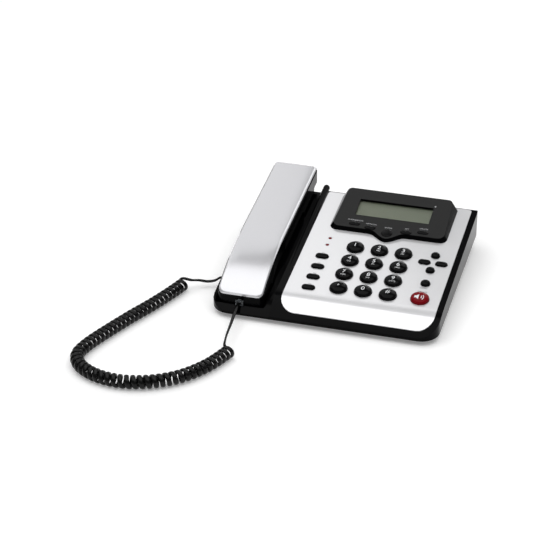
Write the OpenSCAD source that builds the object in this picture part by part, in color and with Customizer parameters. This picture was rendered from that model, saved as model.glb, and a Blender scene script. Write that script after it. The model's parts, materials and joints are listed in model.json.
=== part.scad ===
// Desk telephone with a caller display: wedge base, lift-off handset and a curly cord.
// Units are millimetres. X runs across the base, Y from its front to its back, Z up from the desk.

/* [Base] */
// Width of the base
base_w = 211; // [200:1:225]
// Depth of the base, front to back
base_d = 197.5; // [190:0.5:210]
// Plan radius of the front corners
base_front_r = 17; // [8:1:24]
// Plan radius of the back corners
base_back_r = 10; // [4:1:16]
// Thickness of the side walls
wall = 2.4; // [1.8:0.1:3]
// Thickness of the deck that carries the face panel
deck_t = 3.4; // [2.8:0.1:4]
// Height of the parting line between the two housings, at the front
part_front_z = 5; // [4.8:0.1:5.6]
// Height of the parting line at the back
part_back_z = 16; // [12:0.5:16]
// How far the lower housing tapers in at its bottom
taper_in = 6; // [3:0.5:8]
// Thickness of the lower housing's floor
floor_t = 2; // [1.6:0.1:2.2]
// Diameter of a rubber foot
foot_d = 12; // [8:0.5:14]
// Height of a rubber foot below the floor
foot_h = 2.5; // [2:0.1:3]

/* [Face panel] */
// Slope of the face panel
panel_tilt = 6.5; // [4:0.25:8]
// Width of the face panel
panel_w = 141.5; // [138:0.5:146]
// Thickness of the face panel
panel_t = 2.2; // [1.8:0.1:2.6]
// Black border right of the face panel
panel_border = 5.7; // [4:0.1:8]
// Black border behind the face panel
panel_back_border = 8.3; // [6:0.1:12]
// Level part of that border, before the back slopes away
back_lip = 1.5; // [1:0.1:3]
// Black border in front of the face panel
panel_front_border = 5; // [4:0.1:8]
// Plan radius of the panel's front corners
panel_front_r = 14; // [8:1:20]
// Plan radius of the panel's back corners
panel_back_r = 3; // [1:0.5:6]
// How far the panel's face stands above the black border
panel_proud = 0.5; // [0.2:0.1:1]
// From the base's back to the middle of the dial keys
keypad_back = 126; // [124:0.5:128]
// Height of the panel face at the middle of the dial keys
keypad_z = 27.7; // [27:0.1:31]
// From the middle of the dial keys to where the panel bends down
bend_v = 42; // [41:0.5:46]
// Least radius of the panel's bend
bend_r = 50; // [46:1:56]
// Least height of the bent front edge
bend_front_z = 8; // [7:0.1:9]

/* [Keys] */
// Dial key diameter
dial_d = 16.4; // [12:0.2:18]
// Dial key spacing across
dial_pitch_u = 23; // [21:0.1:24]
// Dial key spacing along the slope
dial_pitch_v = 21.6; // [20:0.1:22.6]
// Height of a dial key above the panel
dial_rise = 4.6; // [3:0.1:5]
// Memory key length
memory_len = 12.4; // [9:0.2:14]
// Memory key width
memory_w = 6.6; // [5:0.2:8]
// Memory key spacing along the slope
memory_pitch = 16.6; // [14:0.2:17]
// Memory key column, left of the middle of the dial keys
memory_u = 50; // [46:0.5:53]
// Place of the first memory key up the slope
memory_v = 12.6; // [8:0.2:14]
// Height of the oval keys above the panel
oval_rise = 2.4; // [1.2:0.1:3]
// Height of the small round keys above the panel
small_rise = 3.4; // [2:0.1:4]
// Cursor pad column, right of the middle of the dial keys
cursor_u = 52.4; // [50:0.2:54]
// Place of the cursor pad up the slope
cursor_v = 25; // [22:0.5:28]
// Cursor keys, distance left and right of the pad's middle
cursor_du = 8; // [7.2:0.1:9]
// Cursor keys, distance above and below the pad's middle
cursor_dv = 11.8; // [10:0.1:13]
// Diameter of the up and down keys
cursor_d = 8.2; // [6:0.2:9]
// Length of the left and right keys
cursor_len = 11.4; // [9:0.2:12.4]
// Width of the left and right keys
cursor_w = 6.6; // [5:0.2:8]
// Redial key diameter
redial_d = 8.8; // [7:0.2:11]
// Redial key, distance down the slope from the middle of the dial keys
redial_v = 7.4; // [5:0.2:10]
// Speaker key diameter
speaker_d = 17; // [14:0.2:19]
// Speaker key, distance down the slope from the middle of the dial keys
speaker_v = 31.3; // [28:0.2:32]
// Height of the speaker key above the panel
speaker_rise = 4.8; // [3:0.1:5.2]
// Key travel
key_travel = 1.5; // [0.8:0.1:2]
// Gap round a key in its hole
key_gap = 0.35; // [0.25:0.05:0.6]
// Diameter of a status lamp
lamp_d = 3; // [2:0.2:4]
// First status lamp, distance up the slope
lamp_v = 42.6; // [40:0.2:45]
// Spacing of the status lamps
lamp_pitch = 10.9; // [8:0.1:12]

/* [Display] */
// Width of the display hood
hood_w = 113; // [108:1:116]
// Front of the hood, distance up the slope from the middle of the dial keys
hood_v = 57.5; // [56:0.5:60]
// Length of the hood up the slope
hood_len = 60; // [56:0.5:60]
// Height of the hood's front edge
hood_front_h = 4; // [3.6:0.1:5.5]
// Slope of the hood's face on the panel
hood_slope = 4.7; // [3:0.1:6]
// How far the hood's sides lean in over their whole height
hood_lean = 6; // [2:0.25:7]
// How far the hood's front leans in over its whole height
hood_front_lean = 4; // [1:0.25:5]
// Wall of the hood
hood_wall = 2; // [1.6:0.1:2.2]
// Reach of the round bulge in the hood's front edge
bulge_out = 10; // [6:0.5:11]
// Half width of the bulge
bulge_half_w = 18; // [14:0.5:22]
// Width of the display window
window_w = 71.5; // [60:0.5:76]
// Height of the display window
window_h = 24; // [18:0.5:28]
// Middle of the window, distance up the hood's face
window_v = 32.9; // [31:0.1:35]
// Soft key length
soft_len = 10; // [7:0.2:11]
// Soft key width
soft_w = 4.4; // [3.4:0.1:4.6]
// Diameter of the middle soft key
soft_mid_d = 10; // [8:0.2:11]
// Height of the soft keys above the hood
soft_rise = 1; // [0.6:0.1:1.6]
// Soft key travel
soft_travel = 0.8; // [0.5:0.1:1]

/* [Handset] */
// Width of the handset's black shell
handset_w = 44; // [40:0.5:46]
// Black ledge beside the silver cover
cover_ledge = 1; // [0.6:0.1:2]
// Clear strip of the base left of the handset
handset_left = 4.5; // [4:0.1:6]
// How far the handset reaches past the base's back
handset_over = 7.5; // [4:0.5:10]
// How far the handset stops short of the base's front
handset_short = 9.5; // [8:0.5:12]
// Height of the handset's front top edge
handset_front_z = 22; // [21.6:0.1:24]
// Length of the handset's curved front part
handset_curve_len = 71.5; // [66:0.5:80]
// Radius of that curve
handset_curve_r = 190; // [180:2:240]
// Thickness of the silver cover
cover_t = 3.2; // [2.8:0.1:4]
// Width of the bevel along the cover's edges
cover_bevel = 2.6; // [1:0.1:4]
// Thickness of the handle
handle_t = 15.5; // [15.5:0.25:17]
// Wall of the handset's shell
shell_wall = 2.2; // [1.8:0.1:2.6]
// Length of the ear block
ear_len = 38; // [36:0.5:40]
// From the handset's back end to the ear block
ear_back = 14.5; // [13:0.5:16]
// Height of the ear block's underside
ear_z = 22; // [20:0.25:24]
// Length of the mouth block
mouth_len = 33; // [31:0.5:34]
// Height of the mouth block's underside
mouth_z = 7; // [6.8:0.1:7.4]
// Depth of the finger hollows in the handle's sides
grip_depth = 1.2; // [0.6:0.1:1.6]
// Length of the finger hollows
grip_len = 40; // [30:1:50]

/* [Cradle] */
// Depth of the handset trough below the panel face
trough_drop = 6.5; // [5.5:0.1:7]
// Thickness of the trough's floor
trough_t = 2.4; // [1.8:0.1:2.6]
// Least radius of the trough's bend at the front
trough_r = 85; // [80:1:95]
// Least height of the trough's front edge
trough_front_z = 6.4; // [6:0.1:7]
// Black strip between the face panel and the trough
rail_w = 7; // [6:0.1:8]
// Radius of the rail on that strip
rail_r = 3.2; // [2.4:0.1:3.4]
// Gap round the handset's blocks in their wells
well_gap = 1.5; // [0.8:0.1:1.6]
// Gap under the handset's blocks
well_rest = 0.4; // [0.3:0.05:0.5]
// Wall of the wells
well_wall = 1.6; // [1.2:0.1:1.8]
// Plan radius of the wells' corners
well_corner_r = 2; // [1:0.25:3]
// Hook plunger width across
hook_w = 12; // [8:0.5:16]
// Hook plunger length along the trough
hook_len = 6; // [4:0.5:9]
// Hook plunger, distance behind the mouth block
hook_back = 30; // [24:1:40]
// Rise of the hook plunger when the handset is lifted
hook_rise = 4; // [2:0.5:5]

/* [Sockets and cord] */
// Width of a cord socket
cord_socket_w = 7.8; // [7.4:0.1:8.4]
// Height of a cord socket
cord_socket_h = 6.2; // [5.8:0.1:6.4]
// Gap beside a plug in its socket
plug_gap = 0.2; // [0.1:0.05:0.3]
// Cord socket in the base, distance from the base's front
cord_socket_y = 50.5; // [50:0.5:52]
// Width of the line socket
line_socket_w = 9.8; // [9.4:0.1:10.4]
// Height of the line socket
line_socket_h = 6.8; // [6.2:0.1:7.4]
// Line socket, distance right of the middle
line_socket_x = 60; // [20:1:70]
// Width of the flat cord
cord_w = 3.4; // [2.6:0.1:3.6]
// Thickness of the cord
cord_t = 2.4; // [2:0.1:2.8]
// Outer diameter of the curls
coil_d = 12.6; // [11:0.2:13]
// Number of curls
curls = 58; // [40:1:64]

/* [Hidden] */
$fn = 48;
eps = 0.01;
ct = cos(panel_tilt);
st = sin(panel_tilt);

// Places of the base: the whole telephone is centred on the origin, handset included
base_front = -(base_d + handset_over) / 2;
base_back = base_front + base_d;
base_x = base_w / 2;
panel_x = base_x - panel_border - panel_w / 2;
panel_y = base_back - keypad_back;
panel_front = base_front + panel_front_border;
panel_back = base_back - panel_back_border;
panel_fit = 0.2;
panel_ledge = 3;
panel_clear = 0.3;
rail_x0 = panel_x - panel_w / 2 - rail_w;
floor_z = foot_h;
floor_top = floor_z + floor_t;
tall = 120;

// Stack under the panel, as heights below its face
board_drop = 10;
board_t = 1.6;
mat_t = 1;
mat_rise = 1;
flange_gap = 0.2;
flange_t = 1.2;
flange_out = 1.1;
stem_gap = 0.3;
ring_gap = 0.7;
ring_wall = 1.6;
stem_drop = board_drop - key_travel - stem_gap;

// Keys: place on the panel and name of each
dial_names = ["key_1", "key_2", "key_3", "key_4", "key_5", "key_6", "key_7", "key_8", "key_9",
              "key_star", "key_0", "key_hash"];
dial_places = [for (r = [0:3], c = [0:2]) [(c - 1) * dial_pitch_u, (1.5 - r) * dial_pitch_v]];
memory_count = 4;
memory_names = [for (i = [1:memory_count]) str("memory_key_", i)];
memory_places = [for (i = [0:memory_count - 1]) [-memory_u, memory_v - i * memory_pitch]];
cursor_round_names = ["cursor_up", "cursor_down"];
cursor_round_places = [[cursor_u, cursor_v + cursor_dv], [cursor_u, cursor_v - cursor_dv]];
cursor_oval_names = ["cursor_left", "cursor_right"];
cursor_oval_places = [[cursor_u - cursor_du, cursor_v], [cursor_u + cursor_du, cursor_v]];
redial_place = [cursor_u, -redial_v];
speaker_place = [cursor_u, -speaker_v];
lamp_places = [for (i = [0:1]) [-memory_u, lamp_v - i * lamp_pitch]];
dome_share = 0.72;
dial_stem_r = 3.5;
small_stem_r = 2;
dial_stems = concat(dial_places, [speaker_place]);
small_stems = concat(memory_places, cursor_round_places, cursor_oval_places, [redial_place]);

// Display: the hood's frame starts at the middle of its front edge
hood_u = 1.2;
hood_corner_r = 7;
hood_back_r = 4.5;
hood_lens_t = 1.2;
hood_board_drop = 8;
hood_fit = 1.5;
window_margin = 2.5;
window_u = -0.2;
soft_names = [for (i = [1:5]) str("soft_key_", i)];
soft_places = [[-33, 7.4], [-17.3, 4.4], [0, -0.4], [17.3, 4.4], [33, 7.4]];
soft_stem_r = 1.4;
soft_flange = 0.6;
soft_pocket = 0.25;
soft_post_places = [for (x = [-44, 44], y = [16, 46]) [x, y]];

// Handset: side view in Y and Z
handset_x = -base_x + handset_left + handset_w / 2;
handset_back = base_back + handset_over;
handset_front = base_front + handset_short;
cover_half = handset_w / 2 - cover_ledge;
curve_y = handset_front + handset_curve_len;
curve_run = handset_curve_len + handset_curve_r * st;
curve_c = [handset_front + curve_run, handset_front_z - sqrt(pow(handset_curve_r, 2) - pow(curve_run, 2))];
handset_back_z = curve_c.y + handset_curve_r * ct + (handset_back - curve_y) * tan(panel_tilt);
ear_y1 = handset_back - ear_back;
ear_y0 = ear_y1 - ear_len;
mouth_y1 = handset_front + mouth_len;
grip_y = mouth_y1 + grip_len / 2 + 4;
grip_r = (pow(grip_len / 2, 2) + pow(grip_depth, 2)) / (2 * grip_depth);
handset_screw_y = [mouth_y1 + 9, ear_y0 - 6];
handset_screw_head_r = 2.7;
handset_screw_r = 1.3;
handset_pad = 6;
cover_gap = 0.1;
block_r = 5;
receiver_r = ear_len / 2 - shell_wall - block_r + 1;
receiver_h = 9;
microphone_r = 4.9;
microphone_h = 6;
weight_w = 16;
weight_h = 6;
weight_y = [curve_y + 18, ear_y0 - 16];

// Sockets
socket_wall = 0.8;
socket_deep = 11;
cord_jack_y = base_front + cord_socket_y;
cord_jack_z = 11.7;
line_jack_z = 23.4;
line_wall = 2.6;
handset_jack_z = mouth_z + shell_wall + socket_wall + cord_socket_h / 2;
plug_tail = 2;
plug_room = 0.6;
plug_w = cord_socket_w - 2 * plug_gap;
plug_h = cord_socket_h - plug_gap;

// Hook plunger
hook_y = mouth_y1 + hook_back;
hook_gap = 0.5;
hook_top = handle_under(hook_y - hook_len / 2) - hook_gap;
hook_switch_h = 3.6;
hook_foot = floor_top + hook_switch_h + 0.2;
hook_fit = 0.3;
hook_collar = 1.5;
hook_collar_t = 1.5;

// Case screws and feet
case_screw_r = 1.5;
case_screw_head_r = 3;
case_screw_head_h = 2;
case_tower_r = 5;
case_tower_h = 5;
case_boss_r = 3.6;
case_rib = 2;
case_clear = 1.5;
case_in = taper_in + case_tower_r;
screw_fit = 0.05;
case_screw_places = [
    [base_x - case_in - 0.5, base_front + base_front_r + case_clear],
    [base_x - case_in - 0.5, base_back - base_back_r - 2 * case_tower_r + 1],
    [-base_x + case_in + case_clear,
     cord_jack_y + cord_socket_w / 2 + socket_wall + case_tower_r + case_clear],
    [-base_x + case_in + case_clear, ear_y0 - well_gap - well_wall - case_boss_r - case_clear]];
foot_in = [26, 20];
foot_places = [for (x = [-1, 1], y = [base_front + foot_in.y, base_back - foot_in.y])
    [x * (base_x - foot_in.x), y]];
foot_sink = 0.8;
speaker_place_base = [40, 20];
loudspeaker_r = 20;
loudspeaker_h = 14;
grille_slot = 2.4;
grille_pitch = 5;
grille_half = 3;

NODES = concat(
    ["upper_housing", "lower_housing", "face_panel", "display_hood", "display_lens", "lcd_module",
     "display_board", "main_board", "keypad_mat", "status_lamps", "loudspeaker", "line_jack", "cord_jack",
     "hook_switch", "rubber_feet", "case_screws", "board_screws", "hook_plunger"],
    ["handset_cover", "handset_shell", "receiver_capsule", "microphone_capsule", "handset_weight",
     "handset_jack", "handset_screws", "handset_plug"],
    ["base_plug", "base_lead", "cord_coil", "handset_lead"],
    dial_names, memory_names, cursor_round_names, cursor_oval_names, ["redial_key", "speaker_key"],
    soft_names);
node = "all";

// Colours
black = "#141416";
silver = "#d6d6d8";
dark = "#333336";
board_green = "#2f6b45";
metal = "#b8bcc0";

// Outline helpers

function unit(v) = v / norm(v);

// Arc that rounds the corner b between a and c
function fillet(a, b, c, r, n) =
    let (u = unit(a - b), w = unit(c - b), half = acos(u * w) / 2)
    let (o = b + unit(u + w) * r / sin(half), s = b + u * r / tan(half) - o, e = b + w * r / tan(half) - o)
    let (a0 = atan2(s.y, s.x), da = (atan2(e.y, e.x) - a0 + 540) % 360 - 180)
    [for (i = [0:n]) o + r * [cos(a0 + da * i / n), sin(a0 + da * i / n)]];

function flat(p) = [p.x, p.y];

// Closed outline from corners [x, y, radius]
function rounded(p, n = 6) =
    let (k = len(p))
    [for (i = [0:k - 1]) each p[i].z == 0 ? [flat(p[i])]
        : fillet(flat(p[(i + k - 1) % k]), flat(p[i]), flat(p[(i + 1) % k]), p[i].z, n)];

// Open line from corners [x, y, radius]; its ends stay as they are
function rounded_line(p, n = 5) =
    [for (i = [0:len(p) - 1]) each p[i].z == 0 ? [flat(p[i])]
        : fillet(flat(p[i - 1]), flat(p[i]), flat(p[i + 1]), p[i].z, n)];

function rect_corners(x0, x1, y0, y1, rf, rb) = [[x0, y0, rf], [x1, y0, rf], [x1, y1, rb], [x0, y1, rb]];

function oval(length, width, n = 8) = rounded(
    rect_corners(-length / 2, length / 2, -width / 2, width / 2, width / 2 - eps, width / 2 - eps), n);

// Solid of a side view drawn in Y and Z, between two places across
module side_extrude(x0, x1) {
    translate([x0, 0, 0]) rotate([90, 0, 90]) linear_extrude(x1 - x0) children();
}

// Frames of the panel and of the hood's face
module on_panel(u, v, h = 0) {
    translate([panel_x, panel_y, keypad_z]) rotate([panel_tilt, 0, 0]) translate([u, v, h]) children();
}

module on_hood(u, v, h = 0) {
    on_panel(hood_u, hood_v, hood_front_h) rotate([hood_slope, 0, 0]) translate([u, v, h]) children();
}

// Base

// Side view of the deck, a given drop below the panel face: bent at the front, straight to the back
function deck_point(v, h) = [panel_y + v * ct - h * st, keypad_z + v * st + h * ct];
function deck_z(y, drop) = keypad_z + (y - panel_y) * tan(panel_tilt) - drop / ct;
bend_steps = 10;
function deck_line(drop, r, y0, y1) =
    let (c = deck_point(-bend_v, -drop - r), b0 = asin((c.x - y0) / r))
    concat([for (i = [0:bend_steps]) let (b = b0 + (panel_tilt - b0) * i / bend_steps)
                [c.x - r * sin(b), c.y + r * cos(b)]],
           [[y1, deck_z(y1, drop)]]);

// Radius of a bend that starts a drop below the panel face and ends at a height at the base's front
function bend_to(drop, z) =
    let (p = deck_point(-bend_v, -drop), d = [p.x - base_front, p.y - z])
    d * d / (2 * abs(d.y * ct - d.x * st));
panel_bend_r = max(bend_r, bend_to(0, bend_front_z));
trough_bend_r = max(trough_r, bend_to(trough_drop, trough_front_z));

// Lines of the face panel, which end just past it
function plate_line(drop) = deck_line(drop, panel_bend_r - drop, panel_front - 1, panel_back + 1);

module base_plan(inset) {
    polygon(rounded(rect_corners(-base_x + inset, base_x - inset, base_front + inset, base_back - inset,
                                 base_front_r - inset, base_back_r - inset)));
}

module panel_plan(grow) {
    polygon(rounded(rect_corners(panel_x - panel_w / 2 - grow, panel_x + panel_w / 2 + grow,
                                 panel_front - grow, panel_back + grow,
                                 panel_front_r + grow, max(panel_back_r + grow, 0.5))));
}

// Block of the base between two places across, under the deck line
module deck_block(x0, x1, drop, r, inset, low0, low1) {
    y0 = base_front + inset;
    y1 = base_back - inset;
    difference() {
        side_extrude(x0, x1) polygon(concat(deck_line(drop, r, y0, y1), [[y1, low1], [y0, low0]]));
        back_slope(inset);
    }
}

// Space over the sloping back edge, behind the face panel
module back_slope(inset) {
    y = panel_back + back_lip;
    k = y + deck_z(y, panel_proud) - inset * sqrt(2);
    side_extrude(-base_x - 1, base_x + 1)
        polygon([[k - tall, tall], [base_back + 1, k - base_back - 1], [base_back + 1, tall]]);
}

// Solid under the deck and the trough, down to a line that rises from the front to the back
module upper_solid(inset, low0, low1) {
    intersection() {
        linear_extrude(tall) base_plan(inset);
        union() {
            deck_block(rail_x0, base_x, panel_proud, panel_bend_r - panel_proud, 0, low0, low1);
            deck_block(-base_x, rail_x0 + eps, trough_drop, trough_bend_r, 0, low0, low1);
        }
    }
}

module upper_outer() {
    upper_solid(0, part_front_z, part_back_z);
}

module upper_cavity() {
    drop = panel_proud + deck_t;
    intersection() {
        translate([0, 0, -1]) linear_extrude(tall) base_plan(wall);
        union() {
            deck_block(rail_x0 + wall, base_x, drop, panel_bend_r - drop, wall, 0, 0);
            deck_block(-base_x, rail_x0 + 2 * wall, trough_drop + trough_t, trough_bend_r - trough_t,
                       wall, 0, 0);
        }
    }
}

// Space of the panel in the deck, from a drop below its face
module panel_space(drop) {
    intersection() {
        linear_extrude(tall) panel_plan(panel_fit);
        side_extrude(-base_x, base_x)
            polygon(concat(plate_line(drop), [[panel_back + 1, tall], [panel_front - 1, tall]]));
    }
}

// Seat of the panel, and the opening inside its ledge
module panel_seat() {
    panel_space(panel_t);
    linear_extrude(tall) panel_plan(-panel_ledge);
    for (p = cursor_oval_places)
        on_panel(p.x, p.y, -board_drop) linear_extrude(board_drop)
            polygon(oval(cursor_len + 2 * flange_out + 1, cursor_w + 2 * flange_out + 1));
}

// Well for a block of the handset; grow is the wall round it
module well(y0, y1, z, grow) {
    half = handset_w / 2 + well_gap + grow;
    r = well_corner_r + grow;
    translate([0, 0, z - well_rest - grow]) linear_extrude(tall)
        polygon(rounded(rect_corners(handset_x - half, handset_x + half, y0 - well_gap - grow,
                                     y1 + well_gap + grow, r, r)));
}

module wells(grow) {
    well(ear_y0, ear_y1, ear_z, grow);
    well(handset_front, mouth_y1, mouth_z, grow);
}

// Rounded rail between the trough and the panel, rising to the back
module guide_rail() {
    run = bend_v - 4;
    sink = 4.5;
    rise = 1;
    reach = (base_back - panel_y) / ct - rail_r - 1;
    slope = atan((sink + rise) / (reach + run));
    on_panel(-panel_w / 2 - rail_w / 2, -run, -sink) rotate([slope - 90, 0, 0]) {
        cylinder(r = rail_r, h = (reach + run) / cos(slope));
        translate([0, 0, (reach + run) / cos(slope)]) sphere(r = rail_r);
    }
}

// Bosses over the lower housing's screw towers; a rib joins the right ones to the side wall
module case_bosses() {
    difference() {
        union() {
            intersection() {
                upper_solid(wall, 0, 0);
                for (p = case_screw_places)
                    translate([p.x, p.y, floor_z + case_tower_h]) cylinder(r = case_boss_r, h = tall);
            }
            intersection() {
                upper_outer();
                for (p = case_screw_places)
                    if (p.x > 0)
                        translate([p.x, p.y - case_rib / 2, floor_z + case_tower_h])
                            cube([base_x - wall / 2 - p.x, case_rib, tall]);
            }
        }
        panel_space(panel_t + panel_clear);
    }
}

module upper_housing() {
    color(black) difference() {
        union() {
            difference() {
                upper_outer();
                upper_cavity();
                panel_seat();
            }
            intersection() {
                upper_outer();
                wells(well_wall);
            }
            case_bosses();
            guide_rail();
        }
        wells(0);
        translate([handset_x - plug_w / 2 - plug_room, handset_front - plug_tail - plug_room,
                   handset_jack_z - cord_socket_h / 2 - plug_room])
            cube([plug_w + 2 * plug_room, plug_tail + plug_room, tall]);
        for (p = case_screw_places)
            translate([p.x, p.y, 0]) cylinder(r = case_screw_r + screw_fit, h = floor_z + case_tower_h + 7);
        translate([handset_x - hook_w / 2 - hook_fit, hook_y - hook_len / 2 - hook_fit, 0])
            cube([hook_w + 2 * hook_fit, hook_len + 2 * hook_fit, tall]);
        translate([-base_x - 1, cord_jack_y - cord_socket_w / 2, cord_jack_z - cord_socket_h / 2])
            cube([wall + 2, cord_socket_w, cord_socket_h]);
        translate([line_socket_x - line_socket_w / 2, base_back - wall - 1, line_jack_z - line_socket_h / 2])
            cube([line_socket_w, wall + 2, line_socket_h]);
    }
}

// Tapered tray: its bottom outline below, the parting line above
module tray(inset, low, lift) {
    slab = 0.2;
    hull() {
        translate([0, 0, low]) linear_extrude(slab) base_plan(taper_in + inset);
        intersection() {
            linear_extrude(tall) base_plan(inset);
            side_extrude(-base_x, base_x)
                polygon([[base_front, part_front_z + lift - slab], [base_back, part_back_z + lift - slab],
                         [base_back, part_back_z + lift], [base_front, part_front_z + lift]]);
        }
    }
}

module speaker_grille() {
    for (i = [-grille_half:grille_half]) {
        run = 2 * sqrt(pow(loudspeaker_r - 3, 2) - pow(i * grille_pitch, 2));
        translate([speaker_place_base.x + i * grille_pitch - grille_slot / 2,
                   speaker_place_base.y - run / 2, 0])
            cube([grille_slot, run, floor_top + 1]);
    }
}

// Post on the floor under a jack
module jack_post(x, y, z) {
    side = 9;
    translate([x - side / 2, y - side / 2, floor_top - eps]) cube([side, side, z - floor_top + eps]);
}

module lower_housing() {
    color(black) difference() {
        union() {
            difference() {
                tray(0, floor_z, 0);
                tray(wall, floor_top, 0.3);
            }
            for (p = case_screw_places)
                translate([p.x, p.y, floor_z + eps]) cylinder(r = case_tower_r, h = case_tower_h - eps);
            jack_post(line_socket_x, base_back - wall - 7, line_jack_z - line_socket_h / 2 - line_wall);
            jack_post(-base_x + wall + 7.5, cord_jack_y, cord_jack_z - cord_socket_h / 2 - socket_wall);
        }
        for (p = case_screw_places)
            translate([p.x, p.y, 0]) {
                cylinder(r = case_screw_head_r + 0.4, h = floor_z + case_tower_h - 2);
                cylinder(r = case_screw_r + 0.2, h = tall);
            }
        for (p = foot_places)
            translate([p.x, p.y, 0]) cylinder(d = foot_d, h = floor_z + foot_sink);
        speaker_grille();
        translate([-base_x + wall - 0.1, cord_jack_y - cord_socket_w / 2 - socket_wall - 0.2,
                   cord_jack_z - cord_socket_h / 2 - socket_wall])
            cube([socket_deep + 4, cord_socket_w + 2 * socket_wall + 0.4, tall]);
    }
}

// Silver plate with the key holes and the four posts of the main board

module panel_plate() {
    low = plate_line(panel_t);
    intersection() {
        linear_extrude(tall) panel_plan(0);
        side_extrude(panel_x - panel_w, panel_x + panel_w)
            polygon(concat(plate_line(0), [for (i = [len(low) - 1:-1:0]) low[i]]));
    }
}

// Main board under the keys; its lower posts stand between the memory keys and under the redial key
board_u = [-panel_w / 2 + panel_ledge + 5.75, panel_w / 2 - panel_ledge - 0.75];
board_v = [-bend_v + 1, hood_v - bulge_out + 0.5];
post_in = 4;
post_u = [board_u[0] + post_in, board_u[1] - post_in];
board_post_places = [
    [post_u[0], (memory_places[2].y + memory_places[3].y) / 2], [post_u[0], board_v[1] - post_in],
    [post_u[1], (redial_place.y + speaker_place.y) / 2], [post_u[1], board_v[1] - post_in]];
board_post_r = 2.6;
board_screw_r = 1.1;

module round_hole(p, d) {
    on_panel(p.x, p.y, -board_drop) cylinder(d = d + 2 * key_gap, h = 2 * board_drop);
}

module oval_hole(p, length, width) {
    on_panel(p.x, p.y, -board_drop) linear_extrude(2 * board_drop)
        polygon(oval(length + 2 * key_gap, width + 2 * key_gap));
}

module face_panel() {
    color(silver) difference() {
        union() {
            panel_plate();
            for (p = board_post_places)
                on_panel(p.x, p.y, -board_drop) cylinder(r = board_post_r, h = board_drop - panel_t / 2);
        }
        for (p = dial_places)
            round_hole(p, dial_d);
        for (p = cursor_round_places)
            round_hole(p, cursor_d);
        round_hole(redial_place, redial_d);
        round_hole(speaker_place, speaker_d);
        for (p = lamp_places)
            round_hole(p, lamp_d);
        for (p = memory_places)
            oval_hole(p, memory_len, memory_w);
        for (p = cursor_oval_places)
            oval_hole(p, cursor_len, cursor_w);
        for (p = board_post_places)
            on_panel(p.x, p.y, -board_drop - 1) cylinder(r = board_screw_r + screw_fit, h = 6);
        on_panel(hood_u, hood_v, -board_drop) linear_extrude(2 * board_drop)
            polygon(hood_outline(hood_wall + hood_fit));
    }
}

// Display

// Outline of the hood on the panel, drawn in by an inset, from the middle of its front edge
bulge_steps = 6;
function hood_outline(inset) =
    let (half = hood_w / 2 - inset, back = hood_len - inset)
    let (r = hood_corner_r - inset, b = hood_back_r - inset)
    concat(rounded_line([[bulge_half_w, inset, 0], [half, inset, r], [half, back, b], [-half, back, b],
                         [-half, inset, r], [-bulge_half_w, inset, 0]]),
           [for (i = [1:2 * bulge_steps - 1]) let (a = 180 * (i / bulge_steps - 1))
               [bulge_half_w * a / 180, inset - bulge_out * (1 + cos(a)) / 2]]);

// Form of the hood, upright at its back and leaning in elsewhere, cut off under its sloping face
module hood_form(inset, drop) {
    high = hood_front_h + hood_len * tan(hood_slope) + 1;
    lean = [1 - 2 * hood_lean / hood_w, 1 - hood_front_lean / hood_len];
    difference() {
        on_panel(hood_u, hood_v + hood_len) linear_extrude(high, scale = lean, slices = 1)
            translate([0, -hood_len]) polygon(hood_outline(inset));
        on_hood(0, 0, -drop) translate([-hood_w, -hood_len, 0]) cube([2 * hood_w, 3 * hood_len, tall]);
    }
}

module display_hood() {
    color(dark) difference() {
        union() {
            difference() {
                hood_form(0, 0);
                hood_form(hood_wall, hood_wall);
            }
            for (p = soft_post_places)
                on_hood(p.x, p.y, -hood_board_drop) cylinder(r = 2.4, h = hood_board_drop - hood_wall / 2);
        }
        on_hood(window_u - window_w / 2, window_v - window_h / 2, -hood_wall - 1)
            cube([window_w, window_h, tall]);
        for (i = [0:len(soft_places) - 1])
            on_hood(soft_places[i].x, soft_places[i].y, -hood_wall - 1) linear_extrude(tall)
                polygon(soft_outline(i, key_gap));
        for (i = [0:len(soft_places) - 1])
            on_hood(soft_places[i].x, soft_places[i].y, -tall) linear_extrude(tall - hood_wall)
                polygon(soft_outline(i, soft_flange + soft_pocket));
    }
}

module display_lens() {
    w = window_w + 2 * window_margin;
    h = window_h + 2 * window_margin;
    color("#9fb0a8") on_hood(window_u - w / 2, window_v - h / 2, -hood_wall - hood_lens_t)
        cube([w, h, hood_lens_t]);
}

module lcd_module() {
    w = window_w + 2 * window_margin;
    h = window_h + 2 * window_margin;
    high = hood_board_drop - hood_wall - hood_lens_t;
    color("#787b6b") on_hood(window_u - w / 2, window_v - h / 2, -hood_board_drop) cube([w, h, high]);
}

module display_board() {
    half = soft_post_places[2].x + 3;
    front = bulge_out / 2;
    length = soft_post_places[3].y + 3 + front;
    color(board_green) on_hood(-half, -front, -hood_board_drop - board_t) cube([2 * half, length, board_t]);
}

// Boards and what is on them

module board_plan() {
    polygon(rounded(rect_corners(board_u[0], board_u[1], board_v[0], board_v[1], 2, 2)));
}

module main_board() {
    color(board_green) difference() {
        on_panel(0, 0, -board_drop - board_t) linear_extrude(board_t) board_plan();
        for (p = board_post_places)
            on_panel(p.x, p.y, -board_drop - board_t - 1) cylinder(r = board_screw_r + 0.2, h = board_t + 2);
    }
}

module board_screws() {
    color(metal) for (p = board_post_places)
        on_panel(p.x, p.y, -board_drop - board_t) {
            translate([0, 0, -1.4]) cylinder(r = 2.2, h = 1.4);
            cylinder(r = board_screw_r, h = board_t + 4.5);
        }
}

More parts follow.
